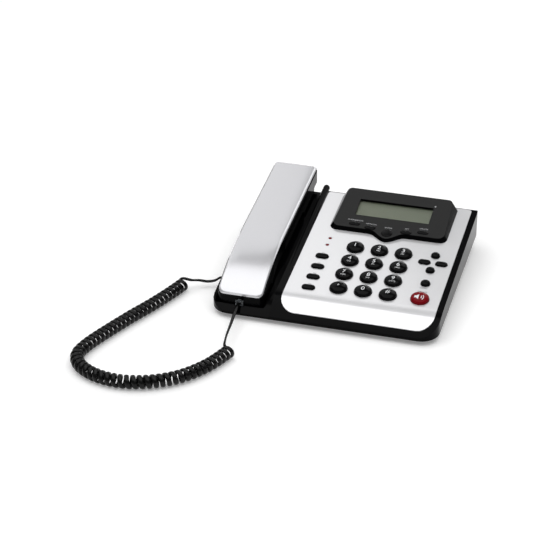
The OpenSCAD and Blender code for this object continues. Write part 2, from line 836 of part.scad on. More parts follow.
module keypad_mat() {
    edge = 7.5;
    color("#55565a") difference() {
        union() {
            on_panel(0, 0, -board_drop) linear_extrude(mat_t)
                polygon(rounded(rect_corners(board_u[0] + edge, board_u[1] - edge / 2, board_v[0] + 0.5,
                                             board_v[1] - edge, 3, 3)));
            for (p = dial_stems)
                on_panel(p.x, p.y, -board_drop)
                    cylinder(r = dial_stem_r + ring_gap + ring_wall, h = mat_t + mat_rise);
            for (p = small_stems)
                on_panel(p.x, p.y, -board_drop)
                    cylinder(r = small_stem_r + ring_gap + ring_wall, h = mat_t + mat_rise);
        }
        for (p = dial_stems)
            on_panel(p.x, p.y, -board_drop - 1)
                cylinder(r = dial_stem_r + ring_gap, h = mat_t + mat_rise + 2);
        for (p = small_stems)
            on_panel(p.x, p.y, -board_drop - 1)
                cylinder(r = small_stem_r + ring_gap, h = mat_t + mat_rise + 2);
        for (p = lamp_places)
            on_panel(p.x, p.y, -board_drop - 1) cylinder(d = lamp_d + 1, h = mat_t + 2);
        for (p = board_post_places)
            on_panel(p.x, p.y, -board_drop - 1) cylinder(r = board_post_r + 0.4, h = mat_t + 2);
    }
}

module status_lamps() {
    proud = 0.6;
    color("#7c1016") for (p = lamp_places)
        on_panel(p.x, p.y, -board_drop) {
            cylinder(d = lamp_d, h = board_drop + proud - lamp_d / 4);
            translate([0, 0, board_drop + proud - lamp_d / 4]) scale(0.5) sphere(d = lamp_d);
        }
}

module loudspeaker() {
    color("#3a3a3c") translate([speaker_place_base.x, speaker_place_base.y, floor_top]) {
        cylinder(r = loudspeaker_r, h = 3);
        translate([0, 0, 3]) cylinder(r1 = loudspeaker_r - 1, r2 = loudspeaker_r / 2, h = loudspeaker_h - 9);
        translate([0, 0, loudspeaker_h - 6]) cylinder(r = loudspeaker_r / 2, h = 6);
    }
}

module rubber_feet() {
    color("#2a2a2c") for (p = foot_places)
        translate([p.x, p.y, 0]) cylinder(d = foot_d, h = foot_h + foot_sink);
}

module case_screws() {
    seat = floor_z + case_tower_h - 2;
    color(metal) for (p = case_screw_places)
        translate([p.x, p.y, 0]) {
            cylinder_from(case_screw_head_r, seat - case_screw_head_h, seat);
            cylinder_from(case_screw_r, seat, seat + 8);
        }
}

module cylinder_from(r, z0, z1) {
    translate([0, 0, z0]) cylinder(r = r, h = z1 - z0);
}

// Sockets and plugs

// Block with a socket that opens towards -Y at its front face
module jack_block(w, h, side, deep) {
    difference() {
        translate([-w / 2 - side, 0, -h / 2 - side]) cube([w + 2 * side, deep + 2, h + 2 * side]);
        translate([-w / 2, -1, -h / 2]) cube([w, deep + 1, h]);
    }
}

module line_jack() {
    color("#1e1e20") translate([line_socket_x, base_back - wall, line_jack_z]) rotate([0, 0, 180])
        jack_block(line_socket_w, line_socket_h, line_wall, socket_deep);
}

module cord_jack() {
    color("#1e1e20") translate([-base_x + wall, cord_jack_y, cord_jack_z]) rotate([0, 0, -90])
        jack_block(cord_socket_w, cord_socket_h, socket_wall, socket_deep);
}

module handset_jack() {
    color("#1e1e20") translate([handset_x, handset_front + shell_wall, handset_jack_z])
        jack_block(cord_socket_w, cord_socket_h, socket_wall, socket_deep);
}

// Modular plug that points to +Y, with its latch on top and its tail towards -Y
module plug(inside) {
    latch_w = 3;
    latch_h = 0.8;
    body = plug_h - latch_h - 0.6;
    color("#d8dce0") translate([0, 0, -cord_socket_h / 2]) {
        translate([-plug_w / 2, -plug_tail, 0]) cube([plug_w, inside + plug_tail, body]);
        side_extrude(-latch_w / 2, latch_w / 2)
            polygon([[inside, body - eps], [inside, body + 0.6], [-plug_tail, plug_h],
                     [-plug_tail, plug_h - latch_h], [inside - 2.5, body - eps]]);
    }
}

module handset_plug() {
    translate([handset_x, handset_front, handset_jack_z]) plug(shell_wall + socket_deep - 1);
}

module base_plug() {
    translate([-base_x, cord_jack_y, cord_jack_z]) rotate([0, 0, -90]) plug(wall + socket_deep - 1);
}

// Hook switch

module hook_switch() {
    color("#26262a") translate([handset_x - 10, hook_y - 3.2, floor_top]) cube([20, 6.4, hook_switch_h]);
}

module hook_plunger() {
    crown = 1.2;
    collar_z = deck_z(hook_y - hook_len, trough_drop + trough_t) - hook_rise - hook_collar_t - 0.6;
    color("#1b1b1d") {
        side_extrude(handset_x - hook_w / 2, handset_x + hook_w / 2)
            polygon(concat(rounded_line([[hook_y + hook_len / 2, hook_foot + 6, 0],
                                         [hook_y + hook_len / 2, hook_top, crown],
                                         [hook_y - hook_len / 2, hook_top, crown],
                                         [hook_y - hook_len / 2, hook_foot + 6, 0]])));
        translate([handset_x - hook_w / 2 - hook_collar, hook_y - hook_len / 2 - hook_collar, collar_z])
            cube([hook_w + 2 * hook_collar, hook_len + 2 * hook_collar, hook_collar_t]);
        translate([handset_x, hook_y, hook_foot]) cylinder(r = 2, h = 7);
    }
}

// Handset

// Height of the handset's top and of its handle's underside at a place along it
function handset_top(y) = y >= curve_y ? handset_back_z + (y - handset_back) * tan(panel_tilt)
    : curve_c.y + sqrt(pow(handset_curve_r, 2) - pow(y - curve_c.x, 2));
function handset_under(y) = handset_top(y) - handle_t;
// The handle's underside is straight from the mouth block to where the top starts to curve
function handle_under(y) =
    let (a = handset_under(mouth_y1), b = handset_under(curve_y))
    min(handset_under(y), a + (b - a) * (y - mouth_y1) / (curve_y - mouth_y1));
curve_steps = 8;
function split_line(lift) =
    concat([[handset_back, handset_top(handset_back) - cover_t + lift]],
           [for (i = [0:curve_steps]) let (y = curve_y + (handset_front - curve_y) * i / curve_steps)
               [y, handset_top(y) - cover_t + lift]]);

// Side view of the black shell, drawn in by its wall; lift raises its open top
function shell_side(i, lift) =
    let (r = block_r - i / 2, low = mouth_z + i, ear = ear_z + i)
    concat(split_line(lift),
           rounded_line([[handset_front + i, handset_top(handset_front) - cover_t + lift, 0],
                         [handset_front + i, low, i == 0 ? 3 : 0], [mouth_y1 - i, low, r],
                         [mouth_y1 - i, handset_under(mouth_y1) + i, r],
                         [curve_y, handset_under(curve_y) + i, 60],
                         [ear_y0 + i, handset_under(ear_y0) + i, r], [ear_y0 + i, ear, r],
                         [ear_y1 - i, ear, r], [ear_y1 - i, handset_under(ear_y1) + i, r / 2],
                         [handset_back - i, handset_under(handset_back) + i, r],
                         [handset_back - i, handset_top(handset_back) - cover_t + lift, 0]]));

module handset_plan(half, inset) {
    front_r = 6;
    back_r = 4;
    linear_extrude(tall)
        polygon(rounded(rect_corners(handset_x - half, handset_x + half, handset_front + inset,
                                     handset_back - inset, front_r - inset, back_r - inset)));
}

// Vertical cylinders that hollow the handle's sides
module finger_hollows(half) {
    for (s = [-1, 1])
        translate([handset_x + s * (half + grip_r - grip_depth), grip_y, 0])
            cylinder(r = grip_r, h = tall, $fn = 240);
}

module shell_cavity() {
    half = handset_w / 2 - grip_depth - shell_wall;
    intersection() {
        side_extrude(handset_x - half, handset_x + half) polygon(shell_side(shell_wall, 1));
        handset_plan(half, shell_wall);
    }
}

module ear_holes() {
    hole_r = 1.2;
    translate([handset_x, (ear_y0 + ear_y1) / 2, ear_z - 1]) {
        cylinder(r = hole_r, h = shell_wall + 2);
        for (i = [0:5])
            rotate(60 * i) translate([6, 0, 0]) cylinder(r = hole_r, h = shell_wall + 2);
    }
}

microphone_y = mouth_y1 - shell_wall - microphone_r - block_r + 1;

module mouth_holes() {
    for (i = [-1:1])
        translate([handset_x + 3 * i, microphone_y, mouth_z - 1]) cylinder(r = 0.8, h = shell_wall + 2);
}

module handset_shell() {
    half = handset_w / 2;
    color(black) difference() {
        union() {
            difference() {
                intersection() {
                    side_extrude(handset_x - half, handset_x + half) polygon(shell_side(0, -cover_gap));
                    handset_plan(half, 0);
                }
                finger_hollows(half);
                shell_cavity();
            }
            for (y = handset_screw_y)
                translate([handset_x, y, handset_under(y) + 1])
                    cylinder(r = handset_screw_head_r + 1.6, h = handset_pad - 1);
        }
        for (y = handset_screw_y)
            translate([handset_x, y, 0]) {
                cylinder(r = handset_screw_head_r + 0.3, h = handset_under(y) + handset_pad - 2.5);
                cylinder(r = handset_screw_r + 0.2, h = handset_under(y) + handset_pad + 1);
            }
        ear_holes();
        mouth_holes();
        translate([handset_x - cord_socket_w / 2, handset_front - 1, handset_jack_z - cord_socket_h / 2])
            cube([cord_socket_w, shell_wall + 2, cord_socket_h]);
    }
}

// Silver cover: one section carried along the handset's top, with round plan corners
cover_front_r = 5;
cover_back_r = 1.5;

// The plan corner draws the sides in; the ends start and stop on the corner's flat
function corner_in(d, r) = d >= r ? 0 : r - sqrt(pow(r, 2) - pow(r - d, 2));
function cover_section(y) =
    let (back = handset_back - 0.5 - y, front = y - handset_front - 0.5)
    let (d = max(min(back, front), 0), r = back < front ? cover_back_r : cover_front_r, in = corner_in(d, r))
    let (half = cover_half - in, b = cover_bevel, t = handset_top(y), crown = 0.5)
    let (soft = d < r ? 0.8 * pow(1 - d / r, 2) : 0)
    [[handset_x - half, y, t - cover_t], [handset_x - half, y, t - b * 0.75 - soft],
     [handset_x - half + b * 0.3, y, t - b * 0.35 - soft], [handset_x - half + b, y, t - crown / 2 - soft],
     [handset_x - half / 2, y, t - crown / 8 - soft], [handset_x, y, t - soft],
     [handset_x + half / 2, y, t - crown / 8 - soft], [handset_x + half - b, y, t - crown / 2 - soft],
     [handset_x + half - b * 0.3, y, t - b * 0.35 - soft], [handset_x + half, y, t - b * 0.75 - soft],
     [handset_x + half, y, t - cover_t]];

cover_y = concat(
    [for (f = [0, 0.08, 0.3, 0.65]) handset_back - 0.5 - cover_back_r * f],
    [handset_back - 0.5 - cover_back_r],
    [for (i = [0:curve_steps]) curve_y + (handset_front + 0.5 + cover_front_r - curve_y) * i / curve_steps],
    [for (f = [0.65, 0.3, 0.08, 0]) handset_front + 0.5 + cover_front_r * f]);

// Closed skin over rings of equal length, which follow each other along the form
function skin_faces(rings, sides) = concat(
    [for (i = [0:rings - 2], j = [0:sides - 1]) let (a = i * sides + j, b = i * sides + (j + 1) % sides)
        each [[a, b, b + sides], [a, b + sides, a + sides]]],
    [for (j = [1:sides - 2]) [0, j + 1, j]],
    [for (j = [1:sides - 2]) let (o = (rings - 1) * sides) [o, o + j, o + j + 1]]);

module handset_cover() {
    rings = [for (y = cover_y) cover_section(y)];
    color(silver) {
        polyhedron([for (r = rings) each r], skin_faces(len(rings), len(rings[0])));
        for (y = handset_screw_y)
            difference() {
                translate([handset_x, y, 0])
                    cylinder_from(3.2, handset_under(y) + handset_pad, handset_top(y) - cover_t / 2);
                translate([handset_x, y, 0])
                    cylinder_from(handset_screw_r + screw_fit, 0, handset_under(y) + handset_pad + 5);
            }
    }
}

module handset_screws() {
    color(metal) for (y = handset_screw_y)
        translate([handset_x, y, handset_under(y) + handset_pad - 2.5]) {
            translate([0, 0, -1.8]) cylinder(r = handset_screw_head_r, h = 1.8);
            cylinder(r = handset_screw_r, h = 6);
        }
}

module receiver_capsule() {
    color("#4a4a4e") translate([handset_x, (ear_y0 + ear_y1) / 2, ear_z + shell_wall]) {
        cylinder(r = receiver_r, h = receiver_h - 4);
        translate([0, 0, receiver_h - 4]) cylinder(r = receiver_r - 4, h = 4);
    }
}

module microphone_capsule() {
    color("#8a8d92") translate([handset_x, microphone_y, mouth_z + shell_wall])
        cylinder(r = microphone_r, h = microphone_h);
}

module handset_weight() {
    low = [for (y = weight_y) handset_under(y) + shell_wall];
    color(metal) side_extrude(handset_x - weight_w / 2, handset_x + weight_w / 2)
        polygon([[weight_y[0], low[0]], [weight_y[1], low[1]], [weight_y[1], low[1] + weight_h],
                 [weight_y[0], low[0] + weight_h]]);
}

// Keys

// Round key: domed cap, flange under the panel and a stem over its switch
module round_key(d, rise, stem_r, hue) {
    crown = dome_share * rise;
    r = d / 2;
    steps = 6;
    flange = panel_t + flange_gap;
    color(hue) rotate_extrude()
        polygon(concat([for (i = [0:steps]) let (a = 90 * i / steps)
                            [r * sin(a), rise - crown * (1 - cos(a))]],
                       [[r, -flange], [r + flange_out, -flange], [r + flange_out, -flange - flange_t],
                        [stem_r, -flange - flange_t], [stem_r, -stem_drop], [0, -stem_drop]]));
}

// Long key with round ends and a crowned top
module oval_key(length, width, rise, stem_r, hue) {
    flange = panel_t + flange_gap;
    crown_r = (pow(length / 2, 2) + pow(rise / 2, 2)) / rise;
    color(hue) {
        intersection() {
            translate([0, 0, -flange - eps]) linear_extrude(flange + rise + eps) polygon(oval(length, width));
            translate([0, width, rise - crown_r]) rotate([90, 0, 0])
                cylinder(r = crown_r, h = 2 * width, $fn = 120);
        }
        translate([0, 0, -flange - flange_t]) linear_extrude(flange_t)
            polygon(oval(length + 2 * flange_out, width + 2 * flange_out));
        translate([0, 0, -stem_drop]) cylinder(r = stem_r, h = stem_drop - flange - flange_t + eps);
    }
}

module dial_key(i) {
    on_panel(dial_places[i].x, dial_places[i].y) round_key(dial_d, dial_rise, dial_stem_r, black);
}

module memory_key(i) {
    on_panel(memory_places[i].x, memory_places[i].y)
        oval_key(memory_len, memory_w, oval_rise, small_stem_r, black);
}

module cursor_round_key(i) {
    on_panel(cursor_round_places[i].x, cursor_round_places[i].y)
        round_key(cursor_d, small_rise, small_stem_r, black);
}

module cursor_oval_key(i) {
    on_panel(cursor_oval_places[i].x, cursor_oval_places[i].y)
        oval_key(cursor_len, cursor_w, oval_rise, small_stem_r, black);
}

module redial_key() {
    on_panel(redial_place.x, redial_place.y) round_key(redial_d, small_rise, small_stem_r, black);
}

module speaker_key() {
    on_panel(speaker_place.x, speaker_place.y) round_key(speaker_d, speaker_rise, dial_stem_r, "#8c0c18");
}

// Outline of a soft key; the middle one is round
function soft_outline(i, grow) = i == 2
    ? [for (k = [0:23]) (soft_mid_d / 2 + grow) * [cos(15 * k), sin(15 * k)]]
    : oval(soft_len + 2 * grow, soft_w + 2 * grow);

module soft_key(i) {
    flange = hood_wall + flange_gap;
    foot = hood_board_drop - soft_travel - stem_gap;
    color("#202022") on_hood(soft_places[i].x, soft_places[i].y) {
        translate([0, 0, -flange - eps]) linear_extrude(flange + soft_rise + eps) polygon(soft_outline(i, 0));
        translate([0, 0, -flange - 1]) linear_extrude(1) polygon(soft_outline(i, soft_flange));
        translate([0, 0, -foot]) cylinder(r = soft_stem_r, h = foot - flange - 1 + eps);
    }
}

// Curly cord

// Routes chosen by hand from the picture: the middle line of the curls, and the leads at both ends
coil_z = coil_d / 2 + 0.2;
helix_r = (coil_d - cord_t) / 2;
coil_route = [[-141.5, -64], [-147, -81], [-157, -107], [-170, -136], [-183, -168], [-191, -191],
              [-193, -208], [-186, -222], [-172, -232], [-155, -237], [-136, -237], [-115, -230],
              [-95, -216], [-78, -193], [-66.5, -165]];

// Smooth curve through the points of a route
function spline_at(p, i, t) =
    let (a = p[max(i - 1, 0)], b = p[i], c = p[i + 1], d = p[min(i + 2, len(p) - 1)])
    0.5 * (2 * b + (c - a) * t + (2 * a - 5 * b + 4 * c - d) * t * t + (3 * b - a - 3 * c + d) * t * t * t);
function spline(p, n) =
    concat([for (i = [0:len(p) - 2], k = [0:n - 1]) spline_at(p, i, k / n)], [p[len(p) - 1]]);

// Length of a line up to each of its points
function step_len(p, i) = i + 1 < len(p) ? norm(p[i + 1] - p[i]) : 0;
function lengths(p) = [for (i = 0, s = 0; i < len(p); s = s + step_len(p, i), i = i + 1) s];

coil_line = spline(coil_route, 12);
coil_lengths = lengths(coil_line);
coil_len = coil_lengths[len(coil_lengths) - 1];
coil_x_table = [for (i = [0:len(coil_line) - 1]) [coil_lengths[i], coil_line[i].x]];
coil_y_table = [for (i = [0:len(coil_line) - 1]) [coil_lengths[i], coil_line[i].y]];
function coil_at(s) = [lookup(s, coil_x_table), lookup(s, coil_y_table)];
function coil_along(s) = unit(coil_at(min(s + 1.5, coil_len)) - coil_at(max(s - 1.5, 0)));

// Curls: a helix that starts at the top of the first one and ends low on the side of the last one
rings_per_curl = 8;
first_turn = 90;
last_turn = -20;
all_turns = 360 * curls + last_turn - first_turn;
function turn_at(s) = first_turn + all_turns * s / coil_len;
function curl_out(s) = let (f = coil_along(s), a = turn_at(s)) [-f.y * cos(a), f.x * cos(a), sin(a)];
function curl_point(s) = [coil_at(s).x, coil_at(s).y, coil_z] + helix_r * curl_out(s);
function curl_along(s) =
    let (f = coil_along(s), a = turn_at(s), rate = helix_r * all_turns * PI / 180 / coil_len)
    unit([f.x + rate * f.y * sin(a), f.y - rate * f.x * sin(a), rate * cos(a)]);
curl_count = ceil(all_turns * rings_per_curl / 360);
curl_steps = [for (i = [0:curl_count]) coil_len * i / curl_count];

// The curls' ends run straight for one width of the cord
coil_in = curl_point(0) - curl_along(0) * cord_w;
coil_out = curl_point(coil_len) + curl_along(coil_len) * cord_w;
curl_points = concat([coil_in], [for (s = curl_steps) curl_point(s)], [coil_out]);
curl_sides = concat([curl_out(0)], [for (s = curl_steps) curl_out(s)], [curl_out(coil_len)]);

lead_drop = 0.8;
base_lead_start = [-base_x - plug_tail, cord_jack_y, cord_jack_z - lead_drop];
base_lead_route = [base_lead_start, base_lead_start - [3, 0, 0.3], [-115, -53, 7.6], [-121.5, -55, 6.6],
                   [-129, -57.5, 8], coil_in - curl_along(0) * 4, coil_in];
handset_lead_start = [handset_x, handset_front - plug_tail, handset_jack_z - lead_drop];
handset_lead_route = [handset_lead_start, handset_lead_start - [0, 6, 0], [-78, -114, 11.5],
                      [-76.5, -130, 10.8], [-75, -146, 10.6], [-73.5, -156, 10.5],
                      coil_out + [-0.6, 1.2, 2], coil_out];

// Tube of oval section round a line of points; out gives the direction of its thin side at each of them
function tube_ring(p, along, out, n) =
    let (u = unit(out - along * (out * along)), w = cross(u, along))
    [for (k = [0:n - 1]) p + u * cos(360 * k / n) * cord_t / 2 + w * sin(360 * k / n) * cord_w / 2];
function line_along(p, i) = unit(p[min(i + 1, len(p) - 1)] - p[max(i - 1, 0)]);

module tube(points, outs, first, last, n) {
    top = len(points) - 1;
    rings = [for (i = [0:top])
        tube_ring(points[i], i == 0 ? first : i == top ? last : line_along(points, i), outs[i], n)];
    color("#18181a") polyhedron([for (r = rings) each r], skin_faces(len(rings), n));
}

// Lead between a plug and the curls, level at the plug
module lead(route, first, last, out) {
    points = spline(route, 3);
    top = len(points) - 1;
    tube(points, [for (i = [0:top]) (1 - i / top) * [0, 0, 1] + i / top * out], first, last, 8);
}

module base_lead() {
    lead(base_lead_route, [-1, 0, 0], curl_along(0), curl_out(0));
}

module cord_coil() {
    tube(curl_points, curl_sides, curl_along(0), curl_along(coil_len), 6);
}

module handset_lead() {
    lead(handset_lead_route, [0, -1, 0], -curl_along(coil_len), curl_out(coil_len));
}

// Least gap between neighbouring curls, from the middle line of the cord
curl_gap = min([for (i = [0:len(curl_points) - 1], j = [i + 5:min(i + 12, len(curl_points) - 1)])
    norm(curl_points[i] - curl_points[j])]) - cord_w;
echo(str("least gap between the curls, mm: ", curl_gap));
function route_len(p) = lengths(p)[len(p) - 1];
echo(str("length of the leads and the curls along the cord, mm: ", route_len(spline(base_lead_route, 3)), " ",
         route_len(curl_points), " ", route_len(spline(handset_lead_route, 3))));

function shown(name) = node == "all" || node == name;

if (shown("upper_housing")) upper_housing();
if (shown("lower_housing")) lower_housing();
if (shown("face_panel")) face_panel();
if (shown("display_hood")) display_hood();
if (shown("display_lens")) display_lens();
if (shown("lcd_module")) lcd_module();
if (shown("display_board")) display_board();
if (shown("main_board")) main_board();
if (shown("keypad_mat")) keypad_mat();
if (shown("status_lamps")) status_lamps();
if (shown("loudspeaker")) loudspeaker();
if (shown("line_jack")) line_jack();
if (shown("cord_jack")) cord_jack();
if (shown("hook_switch")) hook_switch();
if (shown("rubber_feet")) rubber_feet();
if (shown("case_screws")) case_screws();
if (shown("board_screws")) board_screws();
if (shown("hook_plunger")) hook_plunger();
if (shown("handset_cover")) handset_cover();
if (shown("handset_shell")) handset_shell();
if (shown("receiver_capsule")) receiver_capsule();
if (shown("microphone_capsule")) microphone_capsule();
if (shown("handset_weight")) handset_weight();
if (shown("handset_jack")) handset_jack();
if (shown("handset_screws")) handset_screws();
if (shown("handset_plug")) handset_plug();
if (shown("base_plug")) base_plug();
if (shown("base_lead")) base_lead();
if (shown("cord_coil")) cord_coil();
if (shown("handset_lead")) handset_lead();
for (i = [0:len(dial_names) - 1]) if (shown(dial_names[i])) dial_key(i);
for (i = [0:memory_count - 1]) if (shown(memory_names[i])) memory_key(i);
for (i = [0:1]) if (shown(cursor_round_names[i])) cursor_round_key(i);
for (i = [0:1]) if (shown(cursor_oval_names[i])) cursor_oval_key(i);
if (shown("redial_key")) redial_key();
if (shown("speaker_key")) speaker_key();
for (i = [0:len(soft_names) - 1]) if (shown(soft_names[i])) soft_key(i);
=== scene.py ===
"""Looks of a desk telephone with a caller display, dressed round its CAD frame.

Sizes are in millimetres and become metres where geometry is made. The panel frame (u, v, h) lies on the
sloping face panel: u across it, v up its slope, h out of it, from the middle of the dial keys. The hood has
such a frame of its own, from the middle of its front edge.
"""
import json
import math

import bmesh
import bpy
import numpy as np
from mathutils import Matrix, Vector

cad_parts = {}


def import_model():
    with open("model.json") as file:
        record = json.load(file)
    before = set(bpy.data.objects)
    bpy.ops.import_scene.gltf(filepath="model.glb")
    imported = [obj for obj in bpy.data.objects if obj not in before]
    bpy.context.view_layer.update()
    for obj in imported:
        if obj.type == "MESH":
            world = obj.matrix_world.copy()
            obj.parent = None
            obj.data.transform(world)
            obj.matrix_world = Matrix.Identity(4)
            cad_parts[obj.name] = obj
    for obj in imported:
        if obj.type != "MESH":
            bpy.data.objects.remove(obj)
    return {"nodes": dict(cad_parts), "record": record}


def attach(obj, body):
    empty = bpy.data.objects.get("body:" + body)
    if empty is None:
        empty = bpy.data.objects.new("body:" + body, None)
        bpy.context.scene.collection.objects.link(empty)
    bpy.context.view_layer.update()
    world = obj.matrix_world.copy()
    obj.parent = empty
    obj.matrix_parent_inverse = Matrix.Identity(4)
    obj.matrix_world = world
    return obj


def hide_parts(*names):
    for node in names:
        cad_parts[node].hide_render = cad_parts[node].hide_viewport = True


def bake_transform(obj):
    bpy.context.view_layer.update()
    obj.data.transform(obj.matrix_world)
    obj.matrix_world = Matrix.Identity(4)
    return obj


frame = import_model()
nodes = frame["nodes"]
body_of = {n: b for b, members in frame["record"]["behaviour"]["bodies"].items() for n in members}
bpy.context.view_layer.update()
MM = 0.001
scene = bpy.context.scene

# Sizes shared with the solids, in mm and degrees

PANEL_TILT = 6.5
PANEL_ORIGIN = (29.05, -31.0, 27.7)
HOOD_SLOPE = 4.7
HOOD_ORIGIN = (1.2, 57.5, 4.0)
PANEL_T, HOOD_WALL = 2.2, 2.0
DIAL_D, DIAL_RISE = 16.4, 4.6
DIAL_PITCH = (23.0, 21.6)
DOME_SHARE = 0.72
SMALL_RISE, OVAL_RISE = 3.4, 2.4
CURSOR_D, REDIAL_D = 8.2, 8.8
CURSOR = (52.4, 25.0)
CURSOR_STEP = (8.0, 11.8)
CURSOR_OVAL = (11.4, 6.6)
REDIAL_V = -7.4
SPEAKER_D, SPEAKER_RISE, SPEAKER_V = 17.0, 4.8, -31.3
MEMORY_KEYS, MEMORY_U, MEMORY_V, MEMORY_PITCH = 4, -50.0, 12.6, 16.6
MEMORY_OVAL = (12.4, 6.6)
SOFT_PLACES = ((-33.0, 7.4), (-17.3, 4.4), (0.0, -0.4), (17.3, 4.4), (33.0, 7.4))
SOFT_MIDDLE = 2
SOFT_OVAL, SOFT_MID_D, SOFT_RISE = (10.0, 4.4), 10.0, 1.0
# Depth under the face, reach and thickness of a key's flange, then its stem's radius and depth
FLANGE_GAP = 0.2
DIAL_FOOT = (PANEL_T + FLANGE_GAP, 1.1, 1.2, 3.5, 8.2)
SMALL_FOOT = (PANEL_T + FLANGE_GAP, 1.1, 1.2, 2.0, 8.2)
SOFT_FOOT = (HOOD_WALL + FLANGE_GAP, 0.6, 1.0, 1.4, 6.9)

# The cord's width, thickness, outer curl diameter and number of curls
CORD_W, CORD_T, COIL_D, CURLS = 3.4, 2.4, 12.6, 58
# Curled, it is flattened to a greater width
CURL_W = 4.4
FLOOR_GAP = 0.2
COIL_Z = COIL_D / 2 + FLOOR_GAP
COIL_ROUTE = ((-141.5, -64), (-147, -81), (-157, -107), (-170, -136), (-183, -168), (-191, -191),
              (-193, -208), (-186, -222), (-172, -232), (-155, -237), (-136, -237), (-115, -230),
              (-95, -216), (-78, -193), (-66.5, -165))
FIRST_TURN, LAST_TURN = 90.0, -20.0
BASE_LEAD_START = (-107.5, -52.0, 10.9)
BASE_LEAD = ((-110.5, -52, 10.6), (-115, -53, 7.6), (-121.5, -55, 6.6), (-129, -57.5, 8))
HANDSET_LEAD_START = (-79.0, -95.0, 12.3)
HANDSET_LEAD = ((-79, -101, 12.3), (-78, -114, 11.5), (-76.5, -130, 10.8), (-75, -146, 10.6),
                (-73.5, -156, 10.5))
HANDSET_LEAD_LIFT = (-0.6, 1.2, 2.0)
# The base's lead runs straight for this far before the curls
BASE_LEAD_IN = 4

# Fineness of the pieces: steps between two points of a route, rings in one curl and rings over which the cord
# widens, points round a key's cap and steps up its dome
ROUTE_STEPS, LEAD_STEPS = 12, 10
RINGS_PER_CURL, WIDEN_RINGS, RING_POINTS = 24, 8, 16
CAP_POINTS, DOME_STEPS = 64, 14
# Caps end in a small ring rather than a point
POLE_R = 0.05

# Sizes and places of the print, in mm
DIGIT_H, STAR_H, LETTER_H = 4.9, 3.4, 1.4
DIGIT_V, LETTER_V = -0.2, -4.6
SOFT_WORDS = ("PHONEBOOK", "OPTIONS", "ENTER", "SET", "DELETE")
SOFT_WORD_H, SOFT_WORD_V, MIDDLE_WORD_V = 1.7, 5.2, 7.8
PANEL_WORD_H, MEMORY_WORD_V, REDIAL_WORD_V, SPEAKER_WORD_V = 1.6, 5.6, -7.0, 11.4
HORN = ((-4.6, -1.3), (-2.9, -1.3), (-0.6, -3.2), (-0.6, 3.2), (-2.9, 1.3), (-4.6, 1.3))
BOW_RADII, BOW_W, BOW_SPREAD, BOW_MIDDLE = (2.3, 4.1), 0.7, 42, -0.3
SPEAKER_SIGN_V = -2.2
HOOD_DOT, HOOD_DOT_R, HOOD_DOT_POINTS = (36.6, 47.5), 0.8, 24
# Print stands off its face a little, and is split so often where its edges are longer than a step
PRINT_LIFT, PRINT_STEP, PRINT_SPLITS = 0.05, 0.7, 3
# Height of capitals as a share of the type's size
CAPITALS = 0.7


# Places

def on_panel(u, v, h=0.0):
    """Matrix of a place on the face panel, in metres."""
    return (Matrix.Translation(Vector(PANEL_ORIGIN) * MM)
            @ Matrix.Rotation(math.radians(PANEL_TILT), 4, "X")
            @ Matrix.Translation(Vector((u, v, h)) * MM))


def on_hood(u, v, h=0.0):
    """Matrix of a place on the hood's face, in metres."""
    return (on_panel(*HOOD_ORIGIN) @ Matrix.Rotation(math.radians(HOOD_SLOPE), 4, "X")
            @ Matrix.Translation(Vector((u, v, h)) * MM))


# Material helpers

# Sizes of surface patterns in mm: slow drift of colour and gloss, depth of grain, smears and display dots
DRIFT, GRAIN_DEPTH, SMEAR, DOT = 40, 0.02, 12, 0.6
# How much the roughness of each kind of surface varies, as a share of it
MOULD_UNEVEN, METAL_UNEVEN, CLEAR_UNEVEN = 0.15, 0.3, 0.5
# The screen's right and left side, in mm, across which its painted light fades from the left
SCREEN_RIGHT, SCREEN_LEFT = 68, -8
SCREEN_ROUGHNESS = 0.35
WHITE = (1, 1, 1, 1)


def linear(hex_colour):
    """Linear RGBA of an sRGB colour written as hex."""
    channels = [int(hex_colour[i:i + 2], 16) / 255 for i in (1, 3, 5)]
    return tuple(c / 12.92 if c <= 0.04045 else ((c + 0.055) / 1.055) ** 2.4 for c in channels) + (1.0,)


def add(tree, kind, links=(), inputs=(), **settings):
    """New node with its settings, its constant inputs and the links into it; returns the node."""
    made = tree.nodes.new(kind)
    for key, value in settings.items():
        setattr(made, key, value)
    for key, value in dict(inputs).items():
        made.inputs[key].default_value = value
    for key, socket in dict(links).items():
        tree.links.new(socket, made.inputs[key])
    return made


def new_material(name):
    """Empty node material: its tree and the socket of its surface."""
    made = bpy.data.materials.new(name)
    made.use_nodes = True
    made.node_tree.nodes.clear()
    output = made.node_tree.nodes.new("ShaderNodeOutputMaterial")
    return made, made.node_tree, output.inputs["Surface"]


